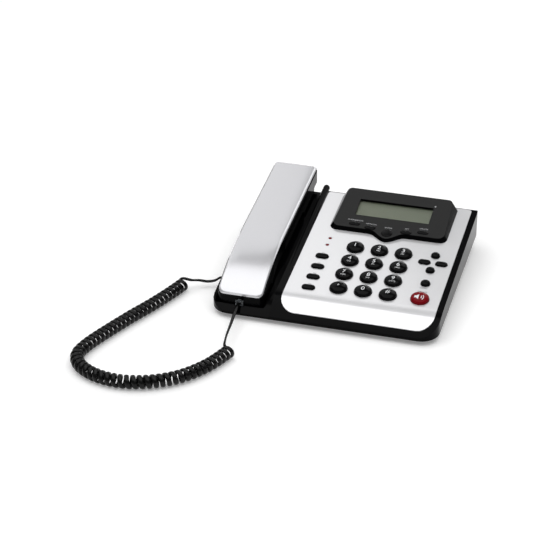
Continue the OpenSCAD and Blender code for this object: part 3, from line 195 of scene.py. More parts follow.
def moulded(name, colour, roughness, grain=0.35, bump=0.04, vary=0.06, specular=0.5, metallic=0.0,
            flake=0.0):
    """Moulded or sprayed surface: a slight drift of colour, uneven gloss and a fine grain of that size in mm.

    The grain of real mouldings is under 0.1 mm, too fine to show, so it is drawn coarser.
    """
    made, tree, surface = new_material(name)
    place = add(tree, "ShaderNodeTexCoord").outputs["Object"]
    cloud = add(tree, "ShaderNodeTexNoise", {"Vector": place}, {"Scale": 1 / (DRIFT * MM), "Detail": 3.0})
    fine = add(tree, "ShaderNodeTexNoise", {"Vector": place}, {"Scale": 1 / (grain * MM), "Detail": 2.0})
    dark = tuple(c * (1 - vary) for c in linear(colour)[:3]) + (1.0,)
    tint = add(tree, "ShaderNodeMix", {"Factor": cloud.outputs["Fac"]}, data_type="RGBA")
    tint.inputs["A"].default_value = dark
    tint.inputs["B"].default_value = linear(colour)
    base = tint.outputs["Result"]
    if flake:
        # Metal flakes in the paint, as small cells that are each a little lighter or darker
        cells = add(tree, "ShaderNodeTexVoronoi", {"Vector": place}, {"Scale": 1 / (grain * MM)})
        level = add(tree, "ShaderNodeMapRange", {"Value": cells.outputs["Color"]},
                    {"To Min": 1 - flake, "To Max": 1 + flake})
        base = add(tree, "ShaderNodeVectorMath", {0: base, 1: level.outputs["Result"]},
                   operation="MULTIPLY").outputs["Vector"]
    gloss = add(tree, "ShaderNodeMapRange", {"Value": cloud.outputs["Fac"]},
                {"To Min": roughness * (1 - MOULD_UNEVEN), "To Max": roughness * (1 + MOULD_UNEVEN)})
    relief = add(tree, "ShaderNodeBump", {"Height": fine.outputs["Fac"]},
                 {"Strength": bump, "Distance": GRAIN_DEPTH * MM})
    shader = add(tree, "ShaderNodeBsdfPrincipled",
                 {"Base Color": base, "Roughness": gloss.outputs["Result"],
                  "Normal": relief.outputs["Normal"]},
                 {"Metallic": metallic, "Specular IOR Level": specular})
    tree.links.new(shader.outputs["BSDF"], surface)
    return made


def metal(name, colour, roughness, streak=0.5):
    """Turned or drawn metal with streaks of that size in mm, coarser than real ones so that they show."""
    made, tree, surface = new_material(name)
    place = add(tree, "ShaderNodeTexCoord").outputs["Object"]
    streaks = add(tree, "ShaderNodeTexNoise", {"Vector": place},
                  {"Scale": 1 / (streak * MM), "Detail": 4.0})
    gloss = add(tree, "ShaderNodeMapRange", {"Value": streaks.outputs["Fac"]},
                {"To Min": roughness * (1 - METAL_UNEVEN), "To Max": roughness * (1 + METAL_UNEVEN)})
    shader = add(tree, "ShaderNodeBsdfPrincipled", {"Roughness": gloss.outputs["Result"]},
                 {"Base Color": linear(colour), "Metallic": 1.0})
    tree.links.new(shader.outputs["BSDF"], surface)
    return made


def clear(name, tint, share, roughness=0.05, milky=False):
    """Clear plastic as a thin pane: see-through, with a share of shine on it, or of milky body."""
    made, tree, surface = new_material(name)
    place = add(tree, "ShaderNodeTexCoord").outputs["Object"]
    smear = add(tree, "ShaderNodeTexNoise", {"Vector": place}, {"Scale": 1 / (SMEAR * MM)})
    gloss = add(tree, "ShaderNodeMapRange", {"Value": smear.outputs["Fac"]},
                {"To Min": roughness * (1 - CLEAR_UNEVEN), "To Max": roughness * (1 + CLEAR_UNEVEN)})
    through = add(tree, "ShaderNodeBsdfTransparent", (), {"Color": linear(tint)})
    if milky:
        face = add(tree, "ShaderNodeBsdfPrincipled", {"Roughness": gloss.outputs["Result"]},
                   {"Base Color": linear(tint)})
    else:
        face = add(tree, "ShaderNodeBsdfGlossy", {"Roughness": gloss.outputs["Result"]}, {"Color": WHITE})
    mix = add(tree, "ShaderNodeMixShader", {1: through.outputs["BSDF"], 2: face.outputs["BSDF"]},
              {"Fac": share})
    tree.links.new(mix.outputs["Shader"], surface)
    return made


def screen(name, colour, lighter):
    """Reflective display: painted light makes it lighter to the left; behind the glass, a faint grid of dots.
    """
    made, tree, surface = new_material(name)
    place = add(tree, "ShaderNodeTexCoord").outputs["Object"]
    split = add(tree, "ShaderNodeSeparateXYZ", {"Vector": place})
    # Painted light: the colour grows lighter towards the screen's left side
    side = add(tree, "ShaderNodeMapRange", {"Value": split.outputs["X"]},
               {"From Min": SCREEN_LEFT * MM, "From Max": SCREEN_RIGHT * MM, "To Min": 1.0, "To Max": 0.0})
    tint = add(tree, "ShaderNodeMix", {"Factor": side.outputs["Result"]}, data_type="RGBA")
    tint.inputs["A"].default_value = linear(colour)
    tint.inputs["B"].default_value = linear(lighter)
    dots = add(tree, "ShaderNodeTexChecker", {"Vector": place, "Color1": tint.outputs["Result"]},
               {"Scale": 1 / (DOT * MM)})
    dots.inputs["Color2"].default_value = linear(colour)
    shader = add(tree, "ShaderNodeBsdfPrincipled", {"Base Color": dots.outputs["Color"]},
                 {"Roughness": SCREEN_ROUGHNESS})
    tree.links.new(shader.outputs["BSDF"], surface)
    return made


# Silver enamel sprayed on moulded ABS: an even metal sheen that mirrors the lights softly. Its flakes are
# about 0.03 mm, too fine to show, so they are drawn at 0.25 mm. Panel and handset wear one enamel, drawn as
# a paler, lit copy on the panel and a darker, shaded copy on the handset: painted light
shaded_cover_silver = moulded("silver_enamel", "#d6d6d9", 0.2, grain=0.25, bump=0.03, vary=0.03, metallic=0.6,
                       flake=0.04)
lit_panel_silver = moulded("pale_silver_enamel", "#f0f0f2", 0.2, grain=0.25, bump=0.03, vary=0.03, metallic=0.5,
                       flake=0.04)
# ABS from a polished mould, on base and handset: a deep black with clear, narrow reflections
gloss_black = moulded("gloss_black_abs", "#040405", 0.14, grain=0.4, bump=0.02, specular=0.05)
# ABS from an etched mould, on the tray under the base: a dull black that blurs what it mirrors
satin_black = moulded("satin_black_abs", "#060607", 0.36, grain=0.5, bump=0.08, specular=0.07)
# Buffed ABS of the keys: small sharp glints on deep black, and on dark red
key_black = moulded("buffed_black_abs", "#040405", 0.12, grain=0.4, bump=0.0, specular=0.08)
key_red = moulded("buffed_red_abs", "#7c0511", 0.14, grain=0.4, bump=0.0, vary=0.15, specular=0.08)
# ABS with a fine moulded texture, on the hood: an even dark grey with hardly a glint
hood_grey = moulded("textured_grey_abs", "#1d1d1d", 0.4, grain=0.3, bump=0.06, specular=0.18)
# Smooth ABS of the soft keys: a soft glint that lifts them off the hood
soft_black = moulded("smooth_black_abs", "#070708", 0.25, grain=0.4, bump=0.02, specular=0.1)
# Extruded vinyl of the cord: black, with a short bright line along each curl
vinyl = moulded("extruded_vinyl", "#060606", 0.22, grain=0.6, bump=0.05, specular=0.2)
# Tinted acrylic of the two lamps: a dark glossy red
lamp_red = moulded("red_acrylic", "#7d0f1c", 0.2, bump=0.0)
# Moulded rubber of the feet: dull, rough and nearly black
rubber = moulded("foot_rubber", "#1a1a1b", 0.75, grain=0.4, bump=0.2)
# Moulded silicone of the key mat: a dull mid grey
mat_rubber = moulded("mat_silicone", "#4c4d52", 0.7, grain=0.4, bump=0.1)
# Glass epoxy board under lacquer: an uneven, half-glossy green
board_green = moulded("green_glass_epoxy", "#1f5a38", 0.4, grain=0.8, bump=0.05, vary=0.2)
# Plain moulded ABS of jacks, switch and speaker: a greyer black with a broad sheen
inner_black = moulded("plain_black_abs", "#161618", 0.45, grain=0.4, bump=0.05)
# Pad-printed ink: flat, even colour without grain
print_white = moulded("white_ink", "#eef0f2", 0.5, grain=0.2, bump=0.0)
print_grey = moulded("grey_ink", "#56575a", 0.5, grain=0.2, bump=0.0)
print_pale = moulded("pale_grey_ink", "#b4b5b7", 0.5, grain=0.2, bump=0.0)
# Zinc-plated steel of the screws: bright, with fine turned streaks
screw_steel = metal("zinc_plated_steel", "#b9bcc1", 0.3)
# Drawn aluminium can of the microphone: greyer and duller than the screws
capsule_metal = metal("drawn_aluminium", "#a4a8ae", 0.35)
# Clear cast acrylic of the window: all but unseen, with a faint sheen
window_clear = clear("window_acrylic", "#f4f6f1", 0.02)
# Clear moulded polycarbonate of the plugs: half seen, with a milky body
plug_clear = clear("plug_polycarbonate", "#c9ced2", 0.14, 0.08, milky=True)
# Glass display cell over its reflector: a flat grey-green, with painted light that makes it lighter on the
# left
lcd = screen("display_glass", "#70756a", "#7c7e73")


# Piece helpers

# Points of a solid's copy closer than this in mm are merged, and faces that meet at less than this in degrees
# are joined
MERGE_GAP, FLAT_ANGLE = 0.002, 0.6
# Edges over these angles in degrees are rounded, or shaded sharp
ROUND_ANGLE, SHARP_ANGLE = 28, 32
# Faces turned this far away from a piece's front, in degrees, count as its edges
EDGE_TURN = 12


def link(name, mesh, *materials):
    """Object of a mesh, at the origin, with its materials."""
    made = bpy.data.objects.new(name, mesh)
    mesh.materials.clear()
    for material in materials:
        mesh.materials.append(material)
    scene.collection.objects.link(made)
    return made


def mesh_of(name, bm):
    """Mesh of an edited mesh, which is freed."""
    mesh = bpy.data.meshes.new(name)
    bm.to_mesh(mesh)
    bm.free()
    return mesh


def smooth(mesh):
    """Smooth shading, with sharp edges kept."""
    bm = bmesh.new()
    bm.from_mesh(mesh)
    for face in bm.faces:
        face.smooth = True
    for edge in bm.edges:
        edge.smooth = len(edge.link_faces) == 2 and edge.calc_face_angle() < math.radians(SHARP_ANGLE)
    bm.to_mesh(mesh)
    bm.free()


def baked(obj):
    """Mesh of an object with its modifiers applied; the object is removed."""
    graph = bpy.context.evaluated_depsgraph_get()
    mesh = bpy.data.meshes.new_from_object(obj.evaluated_get(graph))
    bpy.data.objects.remove(obj)
    return mesh


def stand_for(piece, *names):
    """The piece rides with these CAD nodes and is shown in their place."""
    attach(piece, body_of[names[0]])
    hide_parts(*names)


def dress(name, material, radius, segments=3, edges=None, facing=None):
    """Shows a CAD node as a copy whose points are merged and whose edges are rounded by a radius in mm.

    Faces turned away from the direction in facing take the material in edges.
    """
    mesh = nodes[name].data.copy()
    bm = bmesh.new()
    bm.from_mesh(mesh)
    bmesh.ops.remove_doubles(bm, verts=bm.verts, dist=MERGE_GAP * MM)
    bmesh.ops.dissolve_limit(bm, angle_limit=math.radians(FLAT_ANGLE), verts=bm.verts, edges=bm.edges)
    bm.to_mesh(mesh)
    bm.free()
    if "custom_normal" in mesh.attributes:
        mesh.attributes.remove(mesh.attributes["custom_normal"])
    work = link(name + "_work", mesh, material)
    bevel = work.modifiers.new("edges", "BEVEL")
    bevel.width = radius * MM
    bevel.segments = segments
    bevel.limit_method = "ANGLE"
    bevel.angle_limit = math.radians(ROUND_ANGLE)
    bevel.miter_outer = "MITER_ARC"
    rounded = baked(work)
    smooth(rounded)
    # Large flat faces keep their own normals, and the narrow rounded edges take up the turn
    work = link(name + "_work", rounded, material)
    weighted = work.modifiers.new("normals", "WEIGHTED_NORMAL")
    weighted.keep_sharp = True
    made = baked(work)
    piece = link(name + "_skin", made, *([material, edges] if edges else [material]))
    if edges:
        for face in made.polygons:
            face.material_index = int(face.normal.angle(facing) > math.radians(EDGE_TURN))
    stand_for(piece, name)


def cap(name, profile, place, material):
    """Closed mesh of rings about a place's Z axis.

    Each ring is given as its radius, its height and how far it is drawn out along X, in mm.
    """
    turns = [2 * math.pi * (k + 0.5) / CAP_POINTS for k in range(CAP_POINTS)]
    bm = bmesh.new()

    def ring(radius, height, drawn):
        return [bm.verts.new(Vector((radius * math.cos(a) + math.copysign(drawn, math.cos(a)),
                                     radius * math.sin(a), height)) * MM) for a in turns]

    rings = [ring(*size) for size in profile]
    for low, high in zip(rings, rings[1:]):
        for k in range(CAP_POINTS):
            m = (k + 1) % CAP_POINTS
            bm.faces.new((low[k], low[m], high[m], high[k]))
    bm.faces.new(rings[0])
    bm.faces.new(rings[-1])
    bmesh.ops.recalc_face_normals(bm, faces=bm.faces)
    bm.transform(place)
    mesh = mesh_of(name, bm)
    smooth(mesh)
    return link(name, mesh, material)


# Camera

camera_data = bpy.data.cameras.new("camera")
camera = bpy.data.objects.new("camera", camera_data)
scene.collection.objects.link(camera)
scene.camera = camera
camera_data.lens = 129.34
camera_data.sensor_width = 36.0
camera.location = Vector((373.4, -1570.7, 936.0)) * MM
view_target = Vector((-54.4, -61.6, 27.7)) * MM
camera.rotation_mode = "QUATERNION"
camera.rotation_quaternion = (view_target - camera.location).to_track_quat("-Z", "Y")
camera_data.clip_end = 20.0


# Cord: one flat cord from the base's plug, through the curls, to the handset's plug

# The curls' heading is taken over this many mm to both sides
HEADING_REACH = 1.5


def spline(points, steps):
    """Smooth curve through the points of a route."""
    p = [np.array(q, float) for q in points]
    found = []
    for i in range(len(p) - 1):
        a, b, c, d = p[max(i - 1, 0)], p[i], p[i + 1], p[min(i + 2, len(p) - 1)]
        for k in range(steps):
            t = k / steps
            found.append(0.5 * (2 * b + (c - a) * t + (2 * a - 5 * b + 4 * c - d) * t ** 2
                                + (3 * b - a - 3 * c + d) * t ** 3))
    return np.array(found + [p[-1]])


def unit(v):
    """Vector of length one."""
    return v / np.linalg.norm(v)


def curl_line():
    """Points of the helix, its outward directions, and its direction at both ends."""
    line = spline(COIL_ROUTE, ROUTE_STEPS)
    along = np.concatenate([[0], np.cumsum(np.linalg.norm(np.diff(line, axis=0), axis=1))])
    length = along[-1]
    radius = (COIL_D - CORD_T) / 2
    turns = 360 * CURLS + LAST_TURN - FIRST_TURN
    rate = radius * math.radians(turns) / length

    def place(s):
        return np.array([np.interp(s, along, line[:, 0]), np.interp(s, along, line[:, 1])])

    def heading(s):
        return unit(place(min(s + HEADING_REACH, length)) - place(max(s - HEADING_REACH, 0)))

    def outward(s):
        f, a = heading(s), math.radians(FIRST_TURN + turns * s / length)
        return np.array([-f[1] * math.cos(a), f[0] * math.cos(a), math.sin(a)])

    def direction(s):
        f, a = heading(s), math.radians(FIRST_TURN + turns * s / length)
        return unit(np.array([f[0] + rate * f[1] * math.sin(a), f[1] - rate * f[0] * math.sin(a),
                              rate * math.cos(a)]))

    count = math.ceil(turns * RINGS_PER_CURL / 360)
    steps = [length * i / count for i in range(count + 1)]
    points = np.array([np.append(place(s), COIL_Z) + radius * outward(s) for s in steps])
    outs = np.array([outward(s) for s in steps])
    return points, outs, direction(0), direction(length)


def cord_line():
    """Points of the whole cord in mm, with the direction of its thin side and its width at each of them."""
    curls, outs, first, last = curl_line()
    coil_in = curls[0] - first * CORD_W
    coil_out = curls[-1] + last * CORD_W
    base = spline([BASE_LEAD_START, *BASE_LEAD, coil_in - first * BASE_LEAD_IN, coil_in], LEAD_STEPS)
    handset = spline([HANDSET_LEAD_START, *HANDSET_LEAD, coil_out + np.array(HANDSET_LEAD_LIFT), coil_out],
                     LEAD_STEPS)
    up = np.array([0.0, 0.0, 1.0])
    share = np.linspace(0, 1, len(handset))[:, None]
    handset_outs = (1 - share) * up + share * outs[-1]
    points = np.concatenate([base, curls, handset[::-1]])
    normals = np.concatenate([np.tile(up, (len(base), 1)), outs, handset_outs[::-1]])
    # The curls reach their width over a third of a turn at each end
    step = np.arange(len(points)) - len(base)
    rise = np.clip(np.minimum(step, len(curls) - 1 - step) / WIDEN_RINGS, 0, 1)
    return points, normals, CORD_W + (CURL_W - CORD_W) * rise


def cord_tree():
    """Node group that sweeps an oval along a line of points.

    Each point has its place in the attribute "spot", the way its thin side faces in "out", the way across it
    in "side" and how much it is widened in "widen".
    """
    tree = bpy.data.node_groups.new("flat cord", "GeometryNodeTree")
    tree.interface.new_socket("Geometry", in_out="INPUT", socket_type="NodeSocketGeometry")
    tree.interface.new_socket("Width", in_out="INPUT", socket_type="NodeSocketFloat")
    tree.interface.new_socket("Thickness", in_out="INPUT", socket_type="NodeSocketFloat")
    tree.interface.new_socket("Material", in_out="INPUT", socket_type="NodeSocketMaterial")
    tree.interface.new_socket("Geometry", in_out="OUTPUT", socket_type="NodeSocketGeometry")
    given = add(tree, "NodeGroupInput").outputs
    spot, out, side = (add(tree, "GeometryNodeInputNamedAttribute", (), {"Name": name},
                           data_type="FLOAT_VECTOR").outputs["Attribute"] for name in ("spot", "out", "side"))
    widen = add(tree, "GeometryNodeInputNamedAttribute", (), {"Name": "widen"}, data_type="FLOAT")
    curve = add(tree, "GeometryNodeMeshToCurve", {"Mesh": given["Geometry"]})
    turned = add(tree, "GeometryNodeSetCurveNormal", {"Curve": curve.outputs["Curve"], "Normal": out},
                 mode="FREE")
    ring = add(tree, "GeometryNodeCurvePrimitiveCircle", (), {"Resolution": RING_POINTS, "Radius": 0.5},
               mode="RADIUS")
    size = add(tree, "ShaderNodeCombineXYZ", {"X": given["Thickness"], "Y": given["Width"]}, {"Z": 1.0})
    oval = add(tree, "GeometryNodeTransform",
               {"Geometry": ring.outputs["Curve"], "Scale": size.outputs["Vector"]})
    tube = add(tree, "GeometryNodeCurveToMesh",
               {"Curve": turned.outputs["Curve"], "Profile Curve": oval.outputs["Geometry"]},
               {"Fill Caps": True})
    place = add(tree, "GeometryNodeInputPosition").outputs["Position"]
    away = add(tree, "ShaderNodeVectorMath", {0: place, 1: spot}, operation="SUBTRACT")
    across = add(tree, "ShaderNodeVectorMath", {0: away.outputs["Vector"], 1: side}, operation="DOT_PRODUCT")
    reach = add(tree, "ShaderNodeMath", {0: across.outputs["Value"], 1: widen.outputs["Attribute"]},
                operation="MULTIPLY")
    shift = add(tree, "ShaderNodeVectorMath", {0: side, "Scale": reach.outputs["Value"]}, operation="SCALE")
    wide = add(tree, "GeometryNodeSetPosition",
               {"Geometry": tube.outputs["Mesh"], "Offset": shift.outputs["Vector"]})
    soft = add(tree, "GeometryNodeSetShadeSmooth", {"Geometry": wide.outputs["Geometry"]})
    whole = add(tree, "GeometryNodeRealizeInstances", {"Geometry": soft.outputs["Geometry"]})
    painted = add(tree, "GeometryNodeSetMaterial",
                  {"Geometry": whole.outputs["Geometry"], "Material": given["Material"]})
    add(tree, "NodeGroupOutput", {"Geometry": painted.outputs["Geometry"]})
    return tree


def give(modifier, **values):
    """Sets the named inputs of a node modifier, each by its identifier."""
    for item in modifier.node_group.interface.items_tree:
        if item.in_out == "INPUT" and item.name in values:
            modifier[item.identifier] = values[item.name]


def make_cord():
    """The whole cord as one piece, from the base's plug through the curls to the handset's plug."""
    points, outs, widths = cord_line()
    sides = np.cross(np.gradient(points, axis=0), outs)
    sides /= np.linalg.norm(sides, axis=1)[:, None]
    mesh = bpy.data.meshes.new("cord_line")
    mesh.from_pydata([tuple(p * MM) for p in points], [(i, i + 1) for i in range(len(points) - 1)], [])
    for name, values in (("spot", points * MM), ("out", outs), ("side", sides)):
        attribute = mesh.attributes.new(name, "FLOAT_VECTOR", "POINT")
        attribute.data.foreach_set("vector", values.astype(np.float32).ravel())
    attribute = mesh.attributes.new("widen", "FLOAT", "POINT")
    attribute.data.foreach_set("value", (widths / CORD_W - 1).astype(np.float32))
    work = link("cord_work", mesh, vinyl)
    sweep = work.modifiers.new("sweep", "NODES")
    sweep.node_group = cord_tree()
    give(sweep, Width=CORD_W * MM, Thickness=CORD_T * MM, Material=vinyl)
    cord = link("curly_cord", baked(work), vinyl)
    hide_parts("base_lead", "cord_coil", "handset_lead")
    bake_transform(cord)


dress("base_plug", plug_clear, 0.25, 2)
dress("handset_plug", plug_clear, 0.25, 2)
make_cord()


# Housings, panel, hood and handset, each with the radius of its edges

dress("upper_housing", gloss_black, 0.9)
dress("lower_housing", satin_black, 0.5, 2)
dress("face_panel", lit_panel_silver, 0.45)
dress("display_hood", hood_grey, 0.7, edges=gloss_black, facing=on_hood(0, 0).to_3x3() @ Vector((0, 0, 1)))
dress("handset_cover", shaded_cover_silver, 0.6)
dress("handset_shell", gloss_black, 0.8)
dress("hook_plunger", gloss_black, 0.4, 2)


# Keys

def dome_height(width, rise, x, y):
    """Height of a round key's dome over a place on it, in mm."""
    return rise - DOME_SHARE * rise * (1 - math.sqrt(max(0.0, 1 - (x * x + y * y) / (width / 2) ** 2)))


def key(name, place, length, width, rise, foot, material):
    """Domed cap with round ends, its flange under the face and the stem over its switch."""
    radius, drawn = width / 2, (length - width) / 2
    depth, out, thick, stem_r, stem_depth = foot
    turns = [math.pi / 2 * i / DOME_STEPS for i in range(DOME_STEPS + 1)]
    top = [(max(radius * math.sin(a), POLE_R), rise - DOME_SHARE * rise * (1 - math.cos(a)), drawn)
           for a in turns]
    below = [(radius, -depth, drawn), (radius + out, -depth, drawn), (radius + out, -depth - thick, drawn),
             (stem_r, -depth - thick, 0), (stem_r, -stem_depth, 0), (POLE_R, -stem_depth, 0)]
    stand_for(cap(name + "_cap", top + below, place, material), name)


# The dial keys in reading order, each with the letters under its digit: four rows of three
DIAL = {"1": "", "2": "ABC", "3": "DEF", "4": "GHI", "5": "JKL", "6": "MNO", "7": "PQRS", "8": "TUV",
        "9": "WXYZ", "star": "", "0": "", "hash": ""}
DIAL_PLACES = {sign: ((i % 3 - 1) * DIAL_PITCH[0], (1.5 - i // 3) * DIAL_PITCH[1])
               for i, sign in enumerate(DIAL)}
for sign, (u, v) in DIAL_PLACES.items():
    key("key_" + sign, on_panel(u, v), DIAL_D, DIAL_D, DIAL_RISE, DIAL_FOOT, key_black)
for name, v in (("cursor_up", CURSOR[1] + CURSOR_STEP[1]), ("cursor_down", CURSOR[1] - CURSOR_STEP[1])):
    key(name, on_panel(CURSOR[0], v), CURSOR_D, CURSOR_D, SMALL_RISE, SMALL_FOOT, key_black)
for name, u in (("cursor_left", CURSOR[0] - CURSOR_STEP[0]), ("cursor_right", CURSOR[0] + CURSOR_STEP[0])):
    key(name, on_panel(u, CURSOR[1]), *CURSOR_OVAL, OVAL_RISE, SMALL_FOOT, key_black)
key("redial_key", on_panel(CURSOR[0], REDIAL_V), REDIAL_D, REDIAL_D, SMALL_RISE, SMALL_FOOT, key_black)
key("speaker_key", on_panel(CURSOR[0], SPEAKER_V), SPEAKER_D, SPEAKER_D, SPEAKER_RISE, DIAL_FOOT, key_red)
for i in range(MEMORY_KEYS):
    place = on_panel(MEMORY_U, MEMORY_V - i * MEMORY_PITCH)
    key(f"memory_key_{i + 1}", place, *MEMORY_OVAL, OVAL_RISE, SMALL_FOOT, key_black)
for i, (u, v) in enumerate(SOFT_PLACES):
    size = (SOFT_MID_D, SOFT_MID_D) if i == SOFT_MIDDLE else SOFT_OVAL
    key(f"soft_key_{i + 1}", on_hood(u, v), *size, SOFT_RISE, SOFT_FOOT, soft_black)


# Print: digits and letters on the keys, a plain speaker sign, and small words

def flat_words(text, height):
    """Flat mesh of a word with capitals of that height in mm, round its own middle."""
    curve = bpy.data.curves.new("words", "FONT")
    curve.body = text
    curve.size = height / CAPITALS * MM
    work = bpy.data.objects.new("words", curve)
    scene.collection.objects.link(work)
    bm = bmesh.new()
    bm.from_mesh(baked(work))
    corners = [v.co for v in bm.verts]
    middle = Vector([(min(c[i] for c in corners) + max(c[i] for c in corners)) / 2 for i in range(3)])
    bmesh.ops.translate(bm, verts=bm.verts, vec=-middle)
    return bm


def flat_shapes(outlines):
    """Flat mesh of closed outlines, in mm."""
    bm = bmesh.new()
    for outline in outlines:
        bm.faces.new([bm.verts.new((x * MM, y * MM, 0)) for x, y in outline])
    return bm


def lay(bm, shift, surface):
    """Moves a flat mesh by a shift in mm and lays it over a surface, given as height in mm at a place."""
    bmesh.ops.translate(bm, verts=bm.verts, vec=Vector((*shift, 0)) * MM)
    for _ in range(PRINT_SPLITS):
        bmesh.ops.triangulate(bm, faces=bm.faces)
        long = [e for e in bm.edges if e.calc_length() > PRINT_STEP * MM]
        bmesh.ops.subdivide_edges(bm, edges=long, cuts=1)
    bmesh.ops.triangulate(bm, faces=bm.faces)
    for v in bm.verts:
        v.co.z = (surface(v.co.x / MM, v.co.y / MM) + PRINT_LIFT) * MM
    return bm


def printed(name, marks, material, body):
    """One piece of print from flat meshes that are laid in place, each with the matrix of its place."""
    whole = bmesh.new()
    for bm, place in marks:
        bm.transform(place)
        part = mesh_of("mark", bm)
        whole.from_mesh(part)
        bpy.data.meshes.remove(part)
    piece = link(name, mesh_of(name, whole), material)
    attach(piece, body)


def on_flat(x, y):
    """Height of a flat face."""
    return 0.0


def on_dial(x, y):
    """Height of a dial key's dome."""
    return dome_height(DIAL_D, DIAL_RISE, x, y)


def on_speaker(x, y):
    """Height of the speaker key's dome."""
    return dome_height(SPEAKER_D, SPEAKER_RISE, x, y)


for sign, letters in DIAL.items():
    place = on_panel(*DIAL_PLACES[sign])
    digit = {"star": "*", "hash": "#"}.get(sign, sign)
    height = STAR_H if sign == "star" else DIGIT_H
    marks = [(lay(flat_words(digit, height), (0, DIGIT_V), on_dial), place)]
    if letters:
        marks.append((lay(flat_words(letters, LETTER_H), (0, LETTER_V), on_dial), place))
    printed("print_" + sign, marks, print_white, body_of["key_" + sign])


def bow(radius, steps=10):
    """Outline of one of the bows beside the horn."""
    turns = [math.radians(-BOW_SPREAD + 2 * BOW_SPREAD * i / steps) for i in range(steps + 1)]
    far, near = radius + BOW_W / 2, radius - BOW_W / 2
    outer = [(BOW_MIDDLE + far * math.cos(a), far * math.sin(a)) for a in turns]
    inner = [(BOW_MIDDLE + near * math.cos(a), near * math.sin(a)) for a in turns]
    return outer + inner[::-1]


loud = flat_shapes([HORN, *(bow(radius) for radius in BOW_RADII)])
printed("print_speaker", [(lay(loud, (0, SPEAKER_SIGN_V), on_speaker), on_panel(CURSOR[0], SPEAKER_V))],
        print_white, body_of["speaker_key"])


def word(text, height, place):
    """A word laid flat, with the matrix of its place."""
    return lay(flat_words(text, height), (0, 0), on_flat), place


hood_marks = [word(text, SOFT_WORD_H, on_hood(u, v + (MIDDLE_WORD_V if i == SOFT_MIDDLE else SOFT_WORD_V)))
              for i, (text, (u, v)) in enumerate(zip(SOFT_WORDS, SOFT_PLACES))]
panel_marks = [word(f"M{i + 1}", PANEL_WORD_H,
                    on_panel(MEMORY_U, MEMORY_V - i * MEMORY_PITCH + MEMORY_WORD_V))
               for i in range(MEMORY_KEYS)]
panel_marks += [word("REDIAL", PANEL_WORD_H, on_panel(CURSOR[0], REDIAL_V + REDIAL_WORD_V)),
                word("SPEAKER", PANEL_WORD_H, on_panel(CURSOR[0], SPEAKER_V + SPEAKER_WORD_V))]
printed("print_panel", panel_marks, print_grey, "base")
# The hood's print has a pale dot beside the window as well
dot_turns = [math.tau * k / HOOD_DOT_POINTS for k in range(HOOD_DOT_POINTS)]
dot = flat_shapes([[(HOOD_DOT_R * math.cos(a), HOOD_DOT_R * math.sin(a)) for a in dot_turns]])
printed("print_hood", hood_marks + [(lay(dot, (0, 0), on_flat), on_hood(*HOOD_DOT))], print_pale, "base")


# Solids that stay as they are, with their materials

PLAIN = {
    "display_lens": window_clear, "lcd_module": lcd, "display_board": board_green,
    "main_board": board_green, "keypad_mat": mat_rubber, "status_lamps": lamp_red,
    "loudspeaker": inner_black, "line_jack": inner_black, "cord_jack": inner_black,
    "hook_switch": inner_black, "rubber_feet": rubber, "case_screws": screw_steel,
    "board_screws": screw_steel, "receiver_capsule": inner_black, "microphone_capsule": capsule_metal,
    "handset_weight": screw_steel, "handset_jack": inner_black, "handset_screws": screw_steel,
}
for name, material in PLAIN.items():
    nodes[name].data.materials.clear()
    nodes[name].data.materials.append(material)


# Stage: floor, lights and world

# The floor's reach in metres, its darkest and lightest grey, their drift in mm, and how much it is lifted
FLOOR_REACH = 6.0
FLOOR_DARK, FLOOR_LIGHT, FLOOR_DRIFT = 0.9, 0.94, 60
FLOOR_LIFT = 0.2
WORLD_LEVEL = 0.28


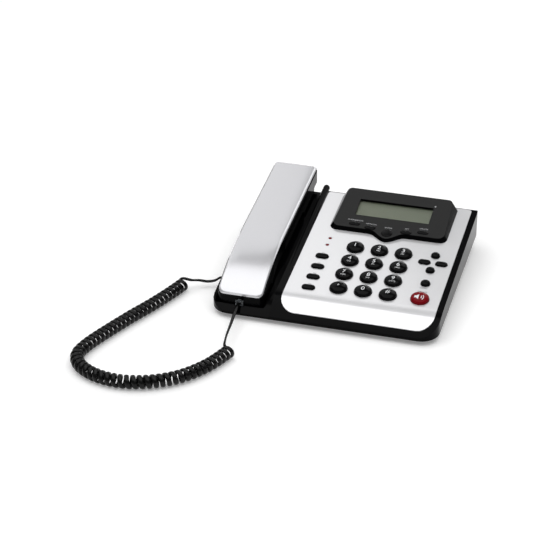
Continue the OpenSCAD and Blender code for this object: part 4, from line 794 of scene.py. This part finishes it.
def floor():
    """Matt white paper with the object's soft shadow."""
    made, tree, surface = new_material("floor_paper")
    place = add(tree, "ShaderNodeTexCoord").outputs["Object"]
    grain = add(tree, "ShaderNodeTexNoise", {"Vector": place}, {"Scale": 1 / (FLOOR_DRIFT * MM)})
    shade = add(tree, "ShaderNodeMapRange", {"Value": grain.outputs["Fac"]},
                {"To Min": FLOOR_DARK, "To Max": FLOOR_LIGHT})
    matt = add(tree, "ShaderNodeBsdfDiffuse", {"Color": shade.outputs["Result"]})
    # The eye and every mirror see the paper a little lighter than it lights the object
    path = add(tree, "ShaderNodeLightPath").outputs
    mirror = add(tree, "ShaderNodeMath", {0: path["Is Glossy Ray"], 1: path["Is Transmission Ray"]},
                 operation="MAXIMUM")
    seen = add(tree, "ShaderNodeMath", {0: path["Is Camera Ray"], 1: mirror.outputs["Value"]},
               operation="MAXIMUM")
    lift = add(tree, "ShaderNodeMath", {0: seen.outputs["Value"]}, {1: FLOOR_LIFT}, operation="MULTIPLY")
    glow = add(tree, "ShaderNodeEmission", {"Strength": lift.outputs["Value"]}, {"Color": WHITE})
    both = add(tree, "ShaderNodeAddShader", {0: matt.outputs["BSDF"], 1: glow.outputs["Emission"]})
    tree.links.new(both.outputs["Shader"], surface)
    mesh = bpy.data.meshes.new("floor")
    corners = [(x * FLOOR_REACH, y * FLOOR_REACH, 0) for x, y in ((-1, -1), (1, -1), (1, 1), (-1, 1))]
    mesh.from_pydata(corners, [], [(0, 1, 2, 3)])
    link("floor", mesh, made)


def lamp(name, place, target, size, radiance):
    """Soft box of that size in metres, aimed at a target; its power follows from how bright its face is."""
    data = bpy.data.lights.new(name, "AREA")
    data.shape = "RECTANGLE"
    data.size, data.size_y = size
    data.energy = math.pi * size[0] * size[1] * radiance
    made = bpy.data.objects.new(name, data)
    scene.collection.objects.link(made)
    made.location = place
    made.rotation_mode = "QUATERNION"
    made.rotation_quaternion = (Vector(target) - Vector(place)).to_track_quat("-Z", "Y")


def world():
    """Plain grey all round."""
    made = bpy.data.worlds.new("studio")
    scene.world = made
    made.use_nodes = True
    tree = made.node_tree
    tree.nodes.clear()
    grey = add(tree, "ShaderNodeBackground", (), {"Color": WHITE, "Strength": WORLD_LEVEL})
    output = tree.nodes.new("ShaderNodeOutputWorld")
    tree.links.new(grey.outputs["Background"], output.inputs["Surface"])


floor()
world()
# The bent fronts mirror the box overhead, the flat tops the box behind, and the dark gap between them draws
# the bend. The strip, the edge box and the side box give the edges and the right bevels their light lines
lamp("overhead_box", (0.0, -0.36, 1.3), (0.0, -0.36, 0.0), (2.2, 1.5), 1.58)
lamp("back_box", (-1.14, 1.06, 1.35), (0.0, 0.0, 0.0), (1.94, 1.4), 0.75)
lamp("back_strip", (0.0, 1.5, 0.42), (0.0, 0.0, 0.03), (0.6, 0.1), 13.0)
lamp("edge_box", (0.46, 1.46, 1.27), (0.0, 0.0, 0.0), (0.95, 0.85), 1.5)
lamp("side_box", (1.2, 1.5, 0.62), (0.0, 0.0, 0.03), (0.8, 0.5), 1.4)
scene.view_settings.view_transform = "Standard"
